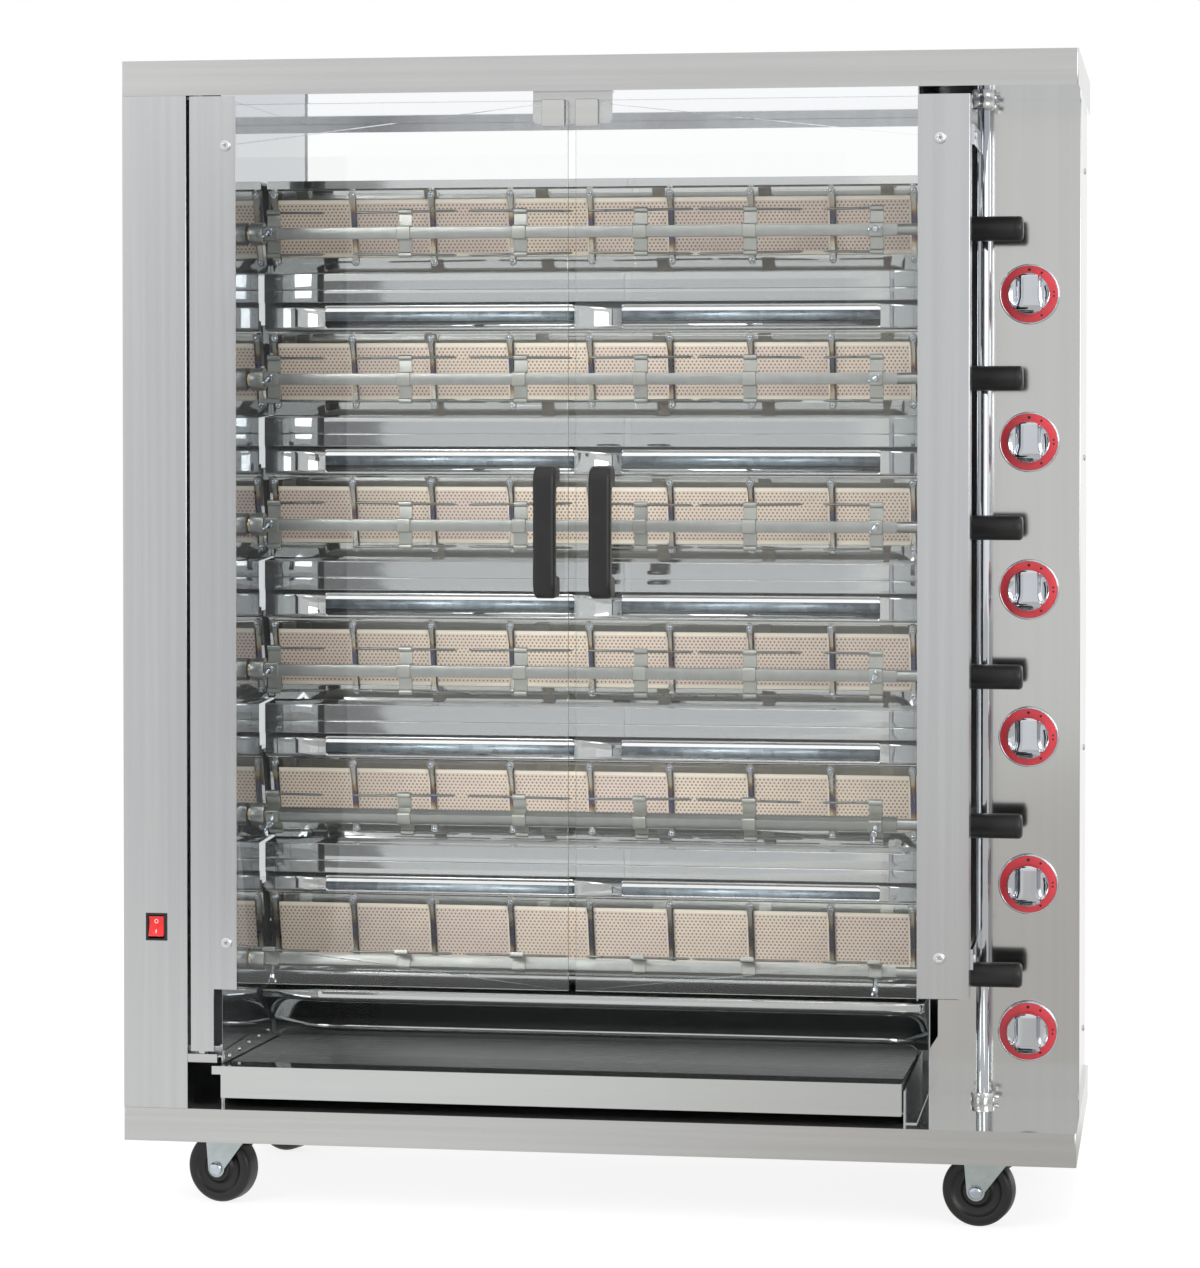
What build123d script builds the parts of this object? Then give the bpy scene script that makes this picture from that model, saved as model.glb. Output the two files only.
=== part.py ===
from build123d import *
import math
import os

os.makedirs("parts", exist_ok=True)

# A free-standing gas rotisserie on four swivel casters. Seen from the front, +X is to the right, the
# doors face -Y, and the origin is on the floor under the middle of the whole outline.

# Rows and tiles
row_count = 6
row_pitch = 180.0            # one spit, one burner and one knob to a row
tile_count = 8               # ceramic tiles in a burner
tile_pitch = 100.6

# Cabinet
sheet = 1.5                  # wall of the folded steel panels
drive_width = 115.0          # left side to the inside of the cavity's left wall
burner_left_gap = 11.0       # cavity wall to the first tile clamp
burner_right_gap = 21.7
control_width = 187.5        # inside of the cavity's right wall to the right edge of base and cap
depth = 480.0
base_height = 40.0
cap_height = 42.0
below_spits = 158.0          # deck to the lowest spit
above_spits = 158.0          # highest spit to the ceiling
corner_radius = 2.0          # outer bend of the folded panels
hem = 12.0                   # stiffening lip inside the base tray
cap_slot_height = 6.0        # open seam along the back of the cap
cap_slot_inset = 30.0
panel_bend = 1.0             # outer bend of the upright panels
column_width = 79.0          # front face of the drive housing
wall_setback = 28.0          # front plane to the flange of the cavity's left wall
flange_height = 58.0         # deck to the lower end of that flange
panel_setback = 240.0        # front plane to the control panel
side_inset = 4.0             # right side panel in from the edge of base and cap
panel_gap = 9.5              # cavity's right wall to the upper part of the control panel
panel_foot_height = 56.0     # deck to where the panel's left edge starts to slant
panel_slant = 15.0
panel_return = 14.0          # depth of the fold along the panel's left edge
wall_cut_height = 146.0      # deck to the underside of the right wall's forward part

# Rear panel
window_height = 90.0         # vent window behind each gap between two burners
window_drop = 130.0          # spit to the lower edge of its vent window
window_inset = 2.0
flue_rise = 78.0             # highest spit to the lower edge of the flue opening
flue_rail = 11.0             # rail over the flue opening
vent_slot_count = 6
vent_slot_width = 60.0
vent_slot_height = 5.0
vent_slot_pitch = 14.0
vent_slot_rise = 100.0       # deck to the lowest vent slot behind the motor

# Casters
wheel_diameter = 85.0
wheel_width = 30.0
wheel_clearance = 1.0        # wheel top to the lower edge of the base
wheel_edge = 6.0             # rounding of the tread
hub_radius = 16.0
hub_stand = 1.0              # hub proud of the tyre's side
axle_radius = 5.0
caster_trail = 22.0          # swivel axis to axle
caster_inset_left = 124.0
caster_inset_right = 95.0
caster_setback = 75.0
caster_turns = (-15.0, -10.0, -22.0, -6.0)   # front left, front right, rear left, rear right
caster_plate_width = 84.0
caster_plate_depth = 64.0
caster_plate = 3.0
kingpin_radius = 6.0
fork_wall = 2.5
fork_head_radius = 28.0
fork_foot_radius = 11.0
fork_top_gap = 16.0          # wheel top to the crown of the fork
crown_inset = 4.0            # front edge of the crown in from the swivel head's rim
crown_tail = 10.0            # crown behind the fork's foot
tail_flare = 4.0             # leg beyond the crown, at its widest
tail_drop = 14.0             # crown down to the widest place of the leg
knee_drop = 24.0             # crown down to where the rear edge turns towards the foot
knee = 3.0                   # rear edge behind the foot, there
shoulder = 2.0               # front edge behind the crown's, at the shoulder
shoulder_drop = 16.0
axle_nut_radius = 8.0
axle_nut = 5.0
running_gap = 0.05           # radial play of a pin or shaft in its bore
side_gap = 0.5               # play beside a hub or a collar

# Burners
burner_setback = 265.0       # front plane to the middle of the burner's face
burner_tilt = 15.3           # the face leans, its lower edge further back
burner_rise = (10.0, 10.0, 10.0, 10.0, 15.0, 25.0)   # middle of each burner over its spit, top row first
burner_end_gap = 4.0         # cavity wall to the end of a burner
face_up = 47.5               # middle of the face to its upper edge
face_down = 54.6
brow_height = 10.0           # upright lip over the face
brow_gap = 2.0
brow_reach = 6.0             # lip in front of the face's upper edge
burner_depth = 70.0          # plenum behind the face's upper edge
tile_width = 94.6
tile_height = 74.0
tile_thickness = 12.0
tile_recess = 1.0
tile_play = 0.4
clamp_width = 5.5
clamp_tab = 10.0             # width of the clamp's ends, round the screws
clamp_thickness = 1.2
clamp_overhang = 5.0         # clamp beyond its screw
screw_spread = 43.4          # middle of the face to a clamp screw
screw_head_radius = 3.6
screw_head_height = 2.6
screw_shank_radius = 1.8
screw_length = 8.0
end_bracket_depth = 24.0
end_bracket_height = 60.0

# Baffle shelves under the burners. Each fold is so far behind the burner's middle, and so far below it.
baffle_sheet = 1.2
fascia_top = (-33.0, 58.0)
fascia_lip = (-33.0, 92.5)
plate_top = (-30.0, 94.0)    # the slotted plate, set back behind the lip
toe_rise = 52.0              # toe above the middle of the burner below, in front of its brow
baffle_hem = 18.0            # fold of the shelf under the burner
low_heel = (15.0, 69.0)      # the lowest shelf's own folds
low_lip = (-48.0, 71.0)
low_lip_foot = 79.0
low_toe = (14.0, 113.0)
drip_edge = (23.0, 137.0)
slot_drop = 100.8            # burner's middle to the upper edge of a draught slot
slot_ends = ((81.3, 397.3), (456.8, 777.5))   # from the cavity's left wall
slot_corner = 3.0
slot_rim = 3.0               # rim left under a slot, along the toe
damper_drops = (105.0, 116.8)   # burner's middle down to the two edges of a damper plate
damper_overlap = 6.0         # damper beyond its slot, at each end

# Spits
spit_setback = 172.0
spit_size = 14.0             # square bar
spit_socket_depth = 14.0
spit_bar_end = 34.0          # square part ends this far from the cavity's right wall
journal_radius = 7.0
spit_handle_radius = 15.0
spit_handle_start = 54.0     # cavity's right wall to the handle
spit_handle_length = 63.0
spit_handle_round = 5.0
spit_handle_chamfer = 1.2
spit_handle_bore = 44.0
spit_collar_start = 6.0
spit_collar_length = 6.0
spit_collar_radius = 11.0
spit_fit = 0.3               # square bar in its socket, each side
seat_play = 0.5              # journal in its seat, radial
seat_gate_low = 6.0          # lower and upper edge of the loading gate over the spit's axis
seat_gate_high = 26.0
fork_centres = (195.4, 339.6, 488.9, 623.4)   # double forks, from the cavity's left wall
fork_first = 29.0            # left end fork
fork_last = 777.5            # right end fork
fork_turns = (0.0, 0.0, 0.0, 0.0, 25.0, 70.0)   # how each spit happens to stand, top row first
fork_width = 16.4
fork_height = 60.0
fork_strap = 2.0             # wall of the fork's clasp round the bar
fork_arm = 3.0               # thickness of the fork's arms
prong_radius = 1.6
prong_point = 4.8            # length of a prong's tapered point
prong_tip = 0.5              # radius of its blunt tip
prong_proud = 0.5            # prongs beyond the rear face of the bar
prong_reach = 70.0
prong_spread = 26.5          # spit's axis to a prong
fork_screw_radius = 3.0
fork_screw_length = 16.0
wing_width = 18.0
wing_height = 9.0
wing_thickness = 2.5
wing_notch = 6.0             # gap between the two wings
wing_notch_depth = 4.5

# Spit sockets and their drive
shaft_radius = 8.0
socket_radius = 14.0
socket_length = 16.5
socket_gap = 2.5             # cavity wall to the socket
bush_radius = 11.0
bush_flange_radius = 15.0
bush_flange = 2.0
bush_length = 22.0
bush_front = 2.0             # bush proud of the wall, in the cavity
bush_play = 0.02
sprocket_teeth = 14
chain_pitch = 12.7
roller_radius = 4.3
sprocket_width = 6.0
sprocket_centre = 81.0       # left side to the sprockets' plane
sprocket_hub_radius = 13.0
sprocket_hub_length = 8.0
tooth_height = 2.5
chain_gap = 0.4
chain_link_plate = 1.5
chain_link_height = 10.0
chain_band = 2.0
shaft_tail = 4.0             # shaft beyond the sprocket, on its free side
guide_height = 50.0
guide_depth = 12.0

# Gear motor, on the lowest spit's shaft
gearbox_width = 58.0
gearbox_depth = 64.0
gearbox_height = 70.0
gearbox_start = 12.0         # left side to the gearbox
motor_radius = 31.0
motor_length = 120.0
motor_chamfer = 5.0
groove_count = 6             # cooling grooves round the motor
groove_width = 3.0
groove_depth = 2.0
motor_bracket_depth = 42.0
motor_bracket_height = 46.0
motor_drop = 8.0             # motor's axis below the shaft
motor_drive = 40.0           # shaft inside the gearbox
gearbox_round = 4.0

# Switch
switch_offset = 41.0         # left side to the middle of the switch
switch_rise = 218.5          # deck to the middle of the switch
bezel_width = 26.0
bezel_height = 33.0
bezel_thickness = 2.0
bezel_bevel = 0.6
switch_body_width = 21.4
switch_body_height = 30.0
switch_body_depth = 22.0
switch_window_width = 19.2
switch_window_height = 28.0
switch_window_depth = 14.0
switch_play = 0.2
rocker_width = 18.6
rocker_half = 12.0
rocker_dip = 1.0             # the rocker's face is hollow by this much, in its middle
rocker_heel = 6.0            # rocker behind its axis
rocker_taper = 2.0
rocker_swing = 7.0
rocker_pivot = 4.0           # front plane to the rocker's axis
rocker_pin_radius = 1.5
rocker_pin_reach = 0.8

# Doors
glass_thickness = 5.0
glass_bottom = 152.0         # deck to the lower edge of the glass
glass_top_gap = 11.0         # glass to the ceiling
stile_sheet = 2.0
door_setback = 1.0
left_gap = 4.0               # drive housing to the left door
left_stile_width = 56.5
left_stile_bottom = 144.5
left_tail_bottom = 69.5
left_tail_width = 28.0
left_glass_inset = 18.0
left_pin_inset = 12.0
left_pin_setback = 9.0
door_top_gap = 1.0
pin_radius = 4.0
pin_reach = 9.0
pin_tab = 2.0
pin_tab_depth = 13.0
pin_tab_width = 26.0
pin_collar_radius = 6.5
glass_gap = 9.0              # between the two doors' glass
left_glass_width = 441.0
right_stile_start = 2.0      # cavity's right wall to the right door's stile
right_stile_width = 60.5
right_stile_bottom = 153.0
right_stile_top_gap = 9.0
right_glass_inset = 12.0
right_return = 40.0          # fold along the right door's free-standing edge
tube_offset = 68.0           # cavity's right wall to the pivot tube
tube_setback = 200.0
tube_radius = 8.0
tube_wall = 2.0
tube_end_gap = 0.5
arm_height = 24.0
arm_thickness = 4.0
arm_rises = (185.0, 1149.0)  # deck to the lower edge of each arm
arm_lap = 21.0               # arm along the stile's fold
stile_screw_rises = (200.5, 1156.0)   # deck to the stile screws
left_screw_inset = 44.0      # left edge of the left stile to its screws
right_screw_inset = 26.0
stile_screw_radius = 7.0
stile_screw_head = 4.0
bolt_radius = 3.0
bolt_play = 0.5
nut_radius = 6.0
nut_height = 5.0
nut_stand = 1.0              # end of a screw beyond its nut
head_rim = 0.45              # share of a pan head's height where its side ends
head_flat = 0.62             # share of its radius where its flat top ends

# Door handles and catch
handle_height = 156.0
handle_width = 26.0
handle_reach = 40.0          # glass to the front of the grip
grip_thickness = 19.0
handle_foot = 26.0
handle_rise = 618.0          # deck to the lower end of the handle
handle_round = 8.0           # inner corners of the bow
handle_crown = 17.5          # outer corners of the bow
handle_edge = 4.0
left_handle_inset = 23.0     # edge of the glass to the middle of the handle
right_handle_inset = 34.0
handle_bolt_radius = 2.5
handle_bolt_depth = 14.0
handle_bolt_head = 5.0
handle_bolt_cap = 2.5        # height of that head
clip_width = 27.0
clip_height = 32.0
clip_sheet = 1.5
left_clip_inset = 18.0       # edge of the glass to the middle of the clip
right_clip_inset = 13.0
magnet_depth = 10.0
magnet_height = 20.0
magnet_drop = 4.0            # ceiling to the magnets
catch_plate_width = 95.0
catch_plate_height = 38.0
catch_plate_foot = 14.0
catch_corner = 6.0
catch_gap = 1.0

# Drip tray and its rails
tray_sheet = 1.2
tray_bottom = 13.0           # deck to the underside of the tray
tray_front_height = 38.0
tray_rear_height = 26.0
tray_setback = 8.0
tray_depth = 318.0
tray_left_gap = 3.0          # cavity wall to the tray's side
tray_right_gap = 16.5
tray_brim = 45.0             # flat rim behind the tray's front
tray_ear = 11.0              # front plate beyond the left side of the pan
tray_ear_height = 10.0
rail_height = 54.0
rail_shelf = 20.0
rail_front = 32.0
rail_length = 296.0
rail_gap = 1.0               # tray to the upright of a rail
rivet_radius = 3.0
rivet_height = 2.0
rivet_round = 1.2
rivet_count = 6
rivet_rise = 10.0            # rivets below the rail's upper edge

# Knobs and gas
knob_drop = 77.0             # spit down to its knob
knob_offset = 121.5          # cavity's right wall to the knobs
knob_radius = 36.7
knob_gap = 2.0               # skirt to the panel
knob_skirt = 8.0
knob_bevel = 2.6
knob_face_radius = 25.2
knob_face_height = 10.0
knob_face_round = 3.3
grip_length = 48.0
grip_width = 17.0
grip_height = 17.0
grip_round = 5.0
grip_edge = 1.9
stem_radius = 4.0
stem_in_knob = 18.0
stem_in_valve = 16.0
stem_hole_play = 2.0
valve_neck_radius = 9.0
valve_neck = 9.0
valve_width = 30.0
valve_depth = 27.0
valve_height = 38.0
manifold_size = 28.0
manifold_wall = 2.5
manifold_overhang = 34.0
inlet_radius = 10.5
inlet_bore = 8.0
inlet_reach = 25.0
inlet_drop = 26.0            # lowest knob down to the inlet
inlet_nut_radius = 17.0
inlet_nut = 10.0
inlet_lock_nut = 5.0         # on the outside of the rear panel
inlet_play = 1.5
pipe_radius = 4.0
pipe_bend = 14.0
pipe_bend_share = 0.45       # of the shortest run between two bends, at most
pipe_run = 46.0              # valve's side to the rising pipe
injector_radius = 8.0
injector_length = 28.0
injector_back = 35.0         # burner's middle to its injector
injector_play = 1.5
side_screw_setback = 400.0
side_screw_rises = (60.0, 415.0, 780.0, 1140.0)
side_screw_radius = 4.0
side_screw_height = 1.8

# Collars and small fixings
collar_radius = 14.5
collar_height = 11.0
set_screw_radius = 2.5
set_screw_reach = 5.0
hinge_plate = 3.0
hinge_plate_lip = 10.0
hinge_plate_rise = 66.0      # deck to the upper face of the lower hinge plate
hinge_play = 0.3
gland_radius = 10.0
gland_length = 14.0
gland_bore = 3.3
gland_nut_radius = 14.0
gland_nut = 5.0
gland_rise = 60.0
gland_offset = 60.0

# Worked out from the sizes above
cavity_width = burner_left_gap + tile_count * tile_pitch + burner_right_gap
width = drive_width + cavity_width + control_width
x_left = -width / 2
x_right = width / 2
x_wall_l = x_left + drive_width
x_wall_r = x_wall_l + cavity_width
x_column = x_left + column_width
x_side = x_right - side_inset
handle_front = handle_reach - door_setback - stile_sheet
y_front = handle_front - (depth + inlet_reach + handle_front) / 2
y_back = y_front + depth
y_rear_in = y_back - sheet
y_wall = y_front + wall_setback
y_panel = y_front + panel_setback
y_spit = y_front + spit_setback
y_tube = y_front + tube_setback
y_glass = y_front + door_setback + stile_sheet
y_glass_back = y_glass + glass_thickness
z_base = wheel_diameter + wheel_clearance
z_deck = z_base + base_height
z_low_spit = z_deck + below_spits
z_high_spit = z_low_spit + (row_count - 1) * row_pitch
z_ceiling = z_high_spit + above_spits
z_top = z_ceiling + cap_height
spit_heights = [z_high_spit - row * row_pitch for row in range(row_count)]
burner_heights = [z + rise for z, rise in zip(spit_heights, burner_rise)]
knob_heights = [z - knob_drop for z in spit_heights]
tilt_slope = math.tan(math.radians(burner_tilt))
x_pin = x_column + left_gap + left_pin_inset
y_pin = y_front + left_pin_setback
x_tube = x_wall_r + tube_offset
x_knob = x_wall_r + knob_offset
x_handle = x_wall_r + spit_handle_start
y_burner = y_front + burner_setback
y_jet = y_burner + injector_back
prong_y = spit_size / 2 + prong_proud - prong_radius


def block(x0, x1, y0, y1, z0, z1):
    return Pos((x0 + x1) / 2, (y0 + y1) / 2, (z0 + z1) / 2) * Box(x1 - x0, y1 - y0, z1 - z0)


def rod_x(radius, x0, x1, y, z):
    return Pos((x0 + x1) / 2, y, z) * Rot(0, 90, 0) * Cylinder(radius, x1 - x0)


def rod_y(radius, y0, y1, x, z):
    return Pos(x, (y0 + y1) / 2, z) * Rot(90, 0, 0) * Cylinder(radius, y1 - y0)


def rod_z(radius, z0, z1, x, y):
    return Pos(x, y, (z0 + z1) / 2) * Cylinder(radius, z1 - z0)


def prism_x(points, x0, x1):
    face = make_face(Polyline([(x0, y, z) for y, z in points], close=True))
    return extrude(face, x1 - x0, dir=(1, 0, 0))


def prism_y(points, y0, y1):
    face = make_face(Polyline([(x, y0, z) for x, z in points], close=True))
    return extrude(face, y1 - y0, dir=(0, 1, 0))


def prism_z(points, z0, z1):
    face = make_face(Polyline([(x, y, z0) for x, y in points], close=True))
    return extrude(face, z1 - z0, dir=(0, 0, 1))


def folded(points, thickness):
    # Outline of a folded sheet: one side follows the points, the other lies a thickness to their left.
    normals = []
    for (a0, b0), (a1, b1) in zip(points, points[1:]):
        run = math.hypot(a1 - a0, b1 - b0)
        normals.append(((b0 - b1) / run, (a1 - a0) / run))
    other = []
    for i, (a, b) in enumerate(points):
        n0 = normals[max(i - 1, 0)]
        n1 = normals[min(i, len(normals) - 1)]
        scale = thickness / (1 + n0[0] * n1[0] + n0[1] * n1[1])
        other.append((a + (n0[0] + n1[0]) * scale, b + (n0[1] + n1[1]) * scale))
    return list(points) + other[::-1]


def upright_edges(solid, corners, reach=0.6):
    found = []
    for edge in solid.edges().filter_by(Axis.Z):
        middle = edge.center()
        if any(math.hypot(middle.X - x, middle.Y - y) < reach for x, y in corners):
            found.append(edge)
    return found


def dome_screw_y(radius, head, shank, length, x, y, z):
    # Pan head standing towards -Y on the plane y, with its shank behind.
    outline = [(0, 0), (radius, 0), (radius, head * head_rim), (radius * head_flat, head), (0, head)]
    turned = revolve(Plane.XZ * make_face(Polyline(outline, close=True)), Axis.Z)
    return Pos(x, y, z) * Rot(90, 0, 0) * (turned + Pos(0, 0, -length / 2) * Cylinder(shank, length))


def hex_nut_y(radius, y0, y1, x, z, bore):
    nut = extrude(Plane.XZ.offset(-y1) * RegularPolygon(radius, 6), y1 - y0)
    return Pos(x, 0, z) * nut - rod_y(bore, y0 - 1, y1 + 1, x, z)


def save(name, *pieces):
    solids = [solid for piece in pieces for solid in piece.solids()]
    export_step(Compound(children=solids), f"parts/{name}.step")


def folded_box(z0, z1):
    # A closed sheet box over the whole plan of the cabinet.
    box = block(x_left, x_right, y_front, y_back, z0, z1)
    box = fillet(box.edges().filter_by(Axis.Z), corner_radius)
    hollow = block(x_left + sheet, x_right - sheet, y_front + sheet, y_back - sheet, z0 + sheet, z1 - sheet)
    return box - hollow


# Base tray: an upturned pan with hemmed lips.
def base_tray():
    mouth = block(x_left + hem, x_right - hem, y_front + hem, y_back - hem, z_base - 1, z_base + 2 * sheet)
    return folded_box(z_base, z_deck) - mouth


# Top cap: a folded box, closed below by the polished ceiling, with an open seam along its back.
def top_cap():
    seam_z = z_ceiling + cap_height / 2
    seam = block(x_left + cap_slot_inset, x_right - cap_slot_inset, y_back - 2 * sheet, y_back + 1,
                 seam_z - cap_slot_height / 2, seam_z + cap_slot_height / 2)
    pin_hole = rod_z(pin_radius + running_gap, z_ceiling - 1, z_ceiling + 2 * sheet, x_pin, y_pin)
    return folded_box(z_ceiling, z_top) - seam - pin_hole


# Drive housing: left side, front face and the fold beside the left door.
def drive_housing():
    side = block(x_left, x_left + sheet, y_front, y_rear_in, z_deck, z_ceiling)
    front = block(x_left, x_column, y_front, y_front + sheet, z_deck, z_ceiling)
    fold = block(x_column - sheet, x_column, y_front, y_wall + sheet, z_deck, z_ceiling)
    shell = side + front + fold
    shell = fillet(upright_edges(shell, [(x_left, y_front), (x_column, y_front)]), panel_bend)
    x = x_left + switch_offset
    z = z_deck + switch_rise
    hole = block(x - switch_body_width / 2 - switch_play, x + switch_body_width / 2 + switch_play,
                 y_front - 1, y_front + 2 * sheet,
                 z - switch_body_height / 2 - switch_play, z + switch_body_height / 2 + switch_play)
    return shell - hole


def bush():
    # Turned about X, its middle line at the origin and the wall's cavity face at x = 0.
    body = rod_x(bush_radius, bush_front - bush_length, bush_front, 0, 0)
    flange = rod_x(bush_flange_radius, -sheet - bush_flange, -sheet, 0, 0)
    return body + flange - rod_x(shaft_radius + running_gap, -bush_length, bush_length, 0, 0)


# The cavity's left wall, with a flange towards the drive housing and a bush for each spit's shaft.
def left_cavity_wall():
    wall = block(x_wall_l - sheet, x_wall_l, y_wall, y_rear_in, z_deck, z_ceiling)
    flange = block(x_column, x_wall_l, y_wall, y_wall + sheet, z_deck + flange_height, z_ceiling)
    holes = [rod_x(bush_radius + bush_play, x_wall_l - 2 * sheet, x_wall_l + sheet, y_spit, z)
             for z in spit_heights]
    bushes = [Pos(x_wall_l, y_spit, z) * bush() for z in spit_heights]
    return [wall + flange - holes] + bushes


# The cavity's right wall. Each spit is laid in through a gate from the front and drops into its seat.
def right_cavity_wall():
    z_cut = z_deck + wall_cut_height
    outline = [(y_rear_in, z_deck), (y_rear_in, z_ceiling), (y_wall, z_ceiling), (y_wall, z_cut),
               (y_panel, z_cut), (y_panel, z_deck)]
    wall = prism_x(outline, x_wall_r, x_wall_r + sheet)
    x0 = x_wall_r - sheet
    x1 = x_wall_r + 2 * sheet
    seat = journal_radius + seat_play
    cuts = []
    for spit_z, burner_z in zip(spit_heights, burner_heights):
        cuts.append(block(x0, x1, y_wall - 1, y_spit + seat, spit_z + seat_gate_low, spit_z + seat_gate_high))
        cuts.append(block(x0, x1, y_spit - seat, y_spit + seat, spit_z, spit_z + seat_gate_high))
        cuts.append(rod_x(seat, x0, x1, y_spit, spit_z))
        cuts.append(rod_x(injector_radius + injector_play, x0, x1, y_jet, burner_z))
    return wall - cuts


# Control housing: front panel with a slanted foot, and the right side with its screws.
def control_housing():
    x0 = x_wall_r + sheet
    x1 = x0 + panel_gap
    z_foot = z_deck + panel_foot_height
    outline = [(x0, z_deck), (x_side, z_deck), (x_side, z_ceiling), (x1, z_ceiling),
               (x1, z_foot + panel_slant), (x0, z_foot)]
    panel = prism_y(outline, y_panel, y_panel + sheet)
    side = block(x_side - sheet, x_side, y_panel, y_rear_in, z_deck, z_ceiling)
    fold = block(x1, x1 + sheet, y_panel, y_panel + panel_return, z_foot + panel_slant, z_ceiling)
    shell = panel + side + fold
    shell = fillet(upright_edges(shell, [(x_side, y_panel)]), panel_bend)
    holes = [rod_y(stem_radius + stem_hole_play, y_panel - 1, y_panel + 2 * sheet, x_knob, z)
             for z in knob_heights]
    y_screw = y_front + side_screw_setback
    screw_z = [z_deck + rise for rise in side_screw_rises]
    hole_radius = screw_shank_radius + running_gap
    holes += [rod_x(hole_radius, x_side - 2 * sheet, x_side + 1, y_screw, z) for z in screw_z]
    screws = [Pos(x_side, y_screw, z) * Rot(0, 0, 90)
              * dome_screw_y(side_screw_radius, side_screw_height, screw_shank_radius, screw_length, 0, 0, 0)
              for z in screw_z]
    return [shell - holes] + screws


# Rear panel: a flue opening over the top burner and a vent window behind each gap between burners.
def rear_panel():
    panel = block(x_left, x_side, y_rear_in, y_back, z_deck, z_ceiling)
    x0 = x_wall_l + window_inset
    x1 = x_wall_r - window_inset
    y0 = y_rear_in - 1
    y1 = y_back + 1
    cuts = [block(x0, x1, y0, y1, z_high_spit + flue_rise, z_ceiling - flue_rail)]
    for z in spit_heights[:-1]:
        cuts.append(block(x0, x1, y0, y1, z - window_drop, z - window_drop + window_height))
    x2 = x_left + (drive_width - vent_slot_width) / 2
    for i in range(vent_slot_count):
        z = z_deck + vent_slot_rise + i * vent_slot_pitch
        cuts.append(block(x2, x2 + vent_slot_width, y0, y1, z, z + vent_slot_height))
    cuts.append(rod_y(inlet_radius + inlet_play, y0, y1, x_knob, knob_heights[-1] - inlet_drop))
    cuts.append(rod_y(gland_radius + running_gap, y0, y1, x_left + gland_offset, z_deck + gland_rise))
    return panel - cuts


# Burner face helpers: a point on the leaning face, and the placing of what lies on it.
def face_y(rise):
    return y_burner - rise * tilt_slope


def on_face(x, along, out):
    # A place on the face: x across, along up the leaning face from its middle, out towards the front.
    return Pos(x, y_burner, 0) * Rot(burner_tilt, 0, 0) * Pos(0, -out, along)


def burner_ends():
    return x_wall_l + burner_end_gap, x_wall_r - burner_end_gap


clamp_places = [x_wall_l + burner_left_gap + i * tile_pitch for i in range(tile_count + 1)]
tile_places = [x + tile_pitch / 2 for x in clamp_places[:-1]]


# One burner housing at height 0: a plenum with a leaning face, windows for the tiles and an upright brow.
def burner_housing():
    x0, x1 = burner_ends()
    y_top = face_y(face_up)
    y_low = face_y(-face_down)
    y_rear = y_top + burner_depth
    brow_top = face_up + brow_gap + brow_height
    outer = [(y_low, -face_down), (y_rear, -face_down), (y_rear, brow_top), (y_top - brow_reach, brow_top),
             (y_top - brow_reach, face_up + brow_gap), (y_top, face_up)]
    body = prism_x(outer, x0, x1)
    wall = sheet / math.cos(math.radians(burner_tilt))
    y_brow = y_top - brow_reach + wall
    inner = [(y_low + wall, -face_down + sheet), (y_rear - sheet, -face_down + sheet),
             (y_rear - sheet, brow_top - sheet), (y_brow, brow_top - sheet),
             (y_brow, face_up + brow_gap + sheet), (y_top + wall, face_up)]
    body -= prism_x(inner, x0 + sheet, x1 - sheet)
    window = Box(tile_width + tile_play, 4 * sheet, tile_height + tile_play)
    cuts = [on_face(x, 0, 0) * window for x in tile_places]
    screw_hole = Rot(90, 0, 0) * Cylinder(screw_shank_radius + running_gap, 4 * sheet)
    for x in clamp_places:
        for along in (screw_spread, -screw_spread):
            cuts.append(on_face(x, along, 0) * screw_hole)
    cuts.append(rod_x(injector_radius - running_gap - sheet, x1 - 2 * sheet, x1 + 1, y_jet, 0))
    return body - cuts


# Burner housings, each with a bracket at both ends that carries it between the cavity walls.
def burner_housings():
    x0, x1 = burner_ends()
    one = burner_housing()
    y1 = face_y(face_up) + burner_depth
    pieces = []
    for z in burner_heights:
        pieces.append(Pos(0, 0, z) * one)
        low = z - face_down
        pieces.append(block(x_wall_l, x0, y1 - end_bracket_depth, y1, low, low + end_bracket_height))
        high = low + end_bracket_height / 2
        pieces.append(block(x1, x_wall_r, y1 - end_bracket_depth / 2, y1, low, high))
    return pieces


# Ceramic tiles, set a little back in the windows of the face.
def ceramic_tiles():
    tile = Box(tile_width, tile_thickness, tile_height)
    return [Pos(0, 0, z) * on_face(x, 0, -tile_recess - tile_thickness / 2) * tile
            for z in burner_heights for x in tile_places]


# Tile clamps: a strip over every joint between tiles, wider round its two screws.
def clamp_strip():
    half = clamp_width / 2
    tab = clamp_tab / 2
    end = screw_spread + clamp_overhang
    neck = tile_height / 2
    strip = prism_y([(-half, -neck), (half, -neck), (half, neck), (-half, neck)], -clamp_thickness, 0)
    for sign in (1, -1):
        outline = [(-half, sign * neck), (half, sign * neck), (tab, sign * screw_spread),
                   (-tab, sign * screw_spread)]
        strip += prism_y(outline, -clamp_thickness, 0)
        strip += rod_y(tab, -clamp_thickness, 0, 0, sign * (end - tab))
    holes = [rod_y(screw_shank_radius + running_gap, -2 * clamp_thickness, 1, 0, along)
             for along in (screw_spread, -screw_spread)]
    return strip - holes


def tile_clamps():
    strip = clamp_strip()
    screw = dome_screw_y(screw_head_radius, screw_head_height, screw_shank_radius, screw_length, 0, 0, 0)
    pieces = []
    for z in burner_heights:
        for x in clamp_places:
            pieces.append(Pos(0, 0, z) * on_face(x, 0, 0) * strip)
            for along in (screw_spread, -screw_spread):
                pieces.append(Pos(0, 0, z) * on_face(x, along, clamp_thickness) * screw)
    return pieces


def step(place, z):
    # A fold of a baffle: how far behind the burner's middle, and how far below it.
    return (y_burner + place[0], z - place[1])


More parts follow.
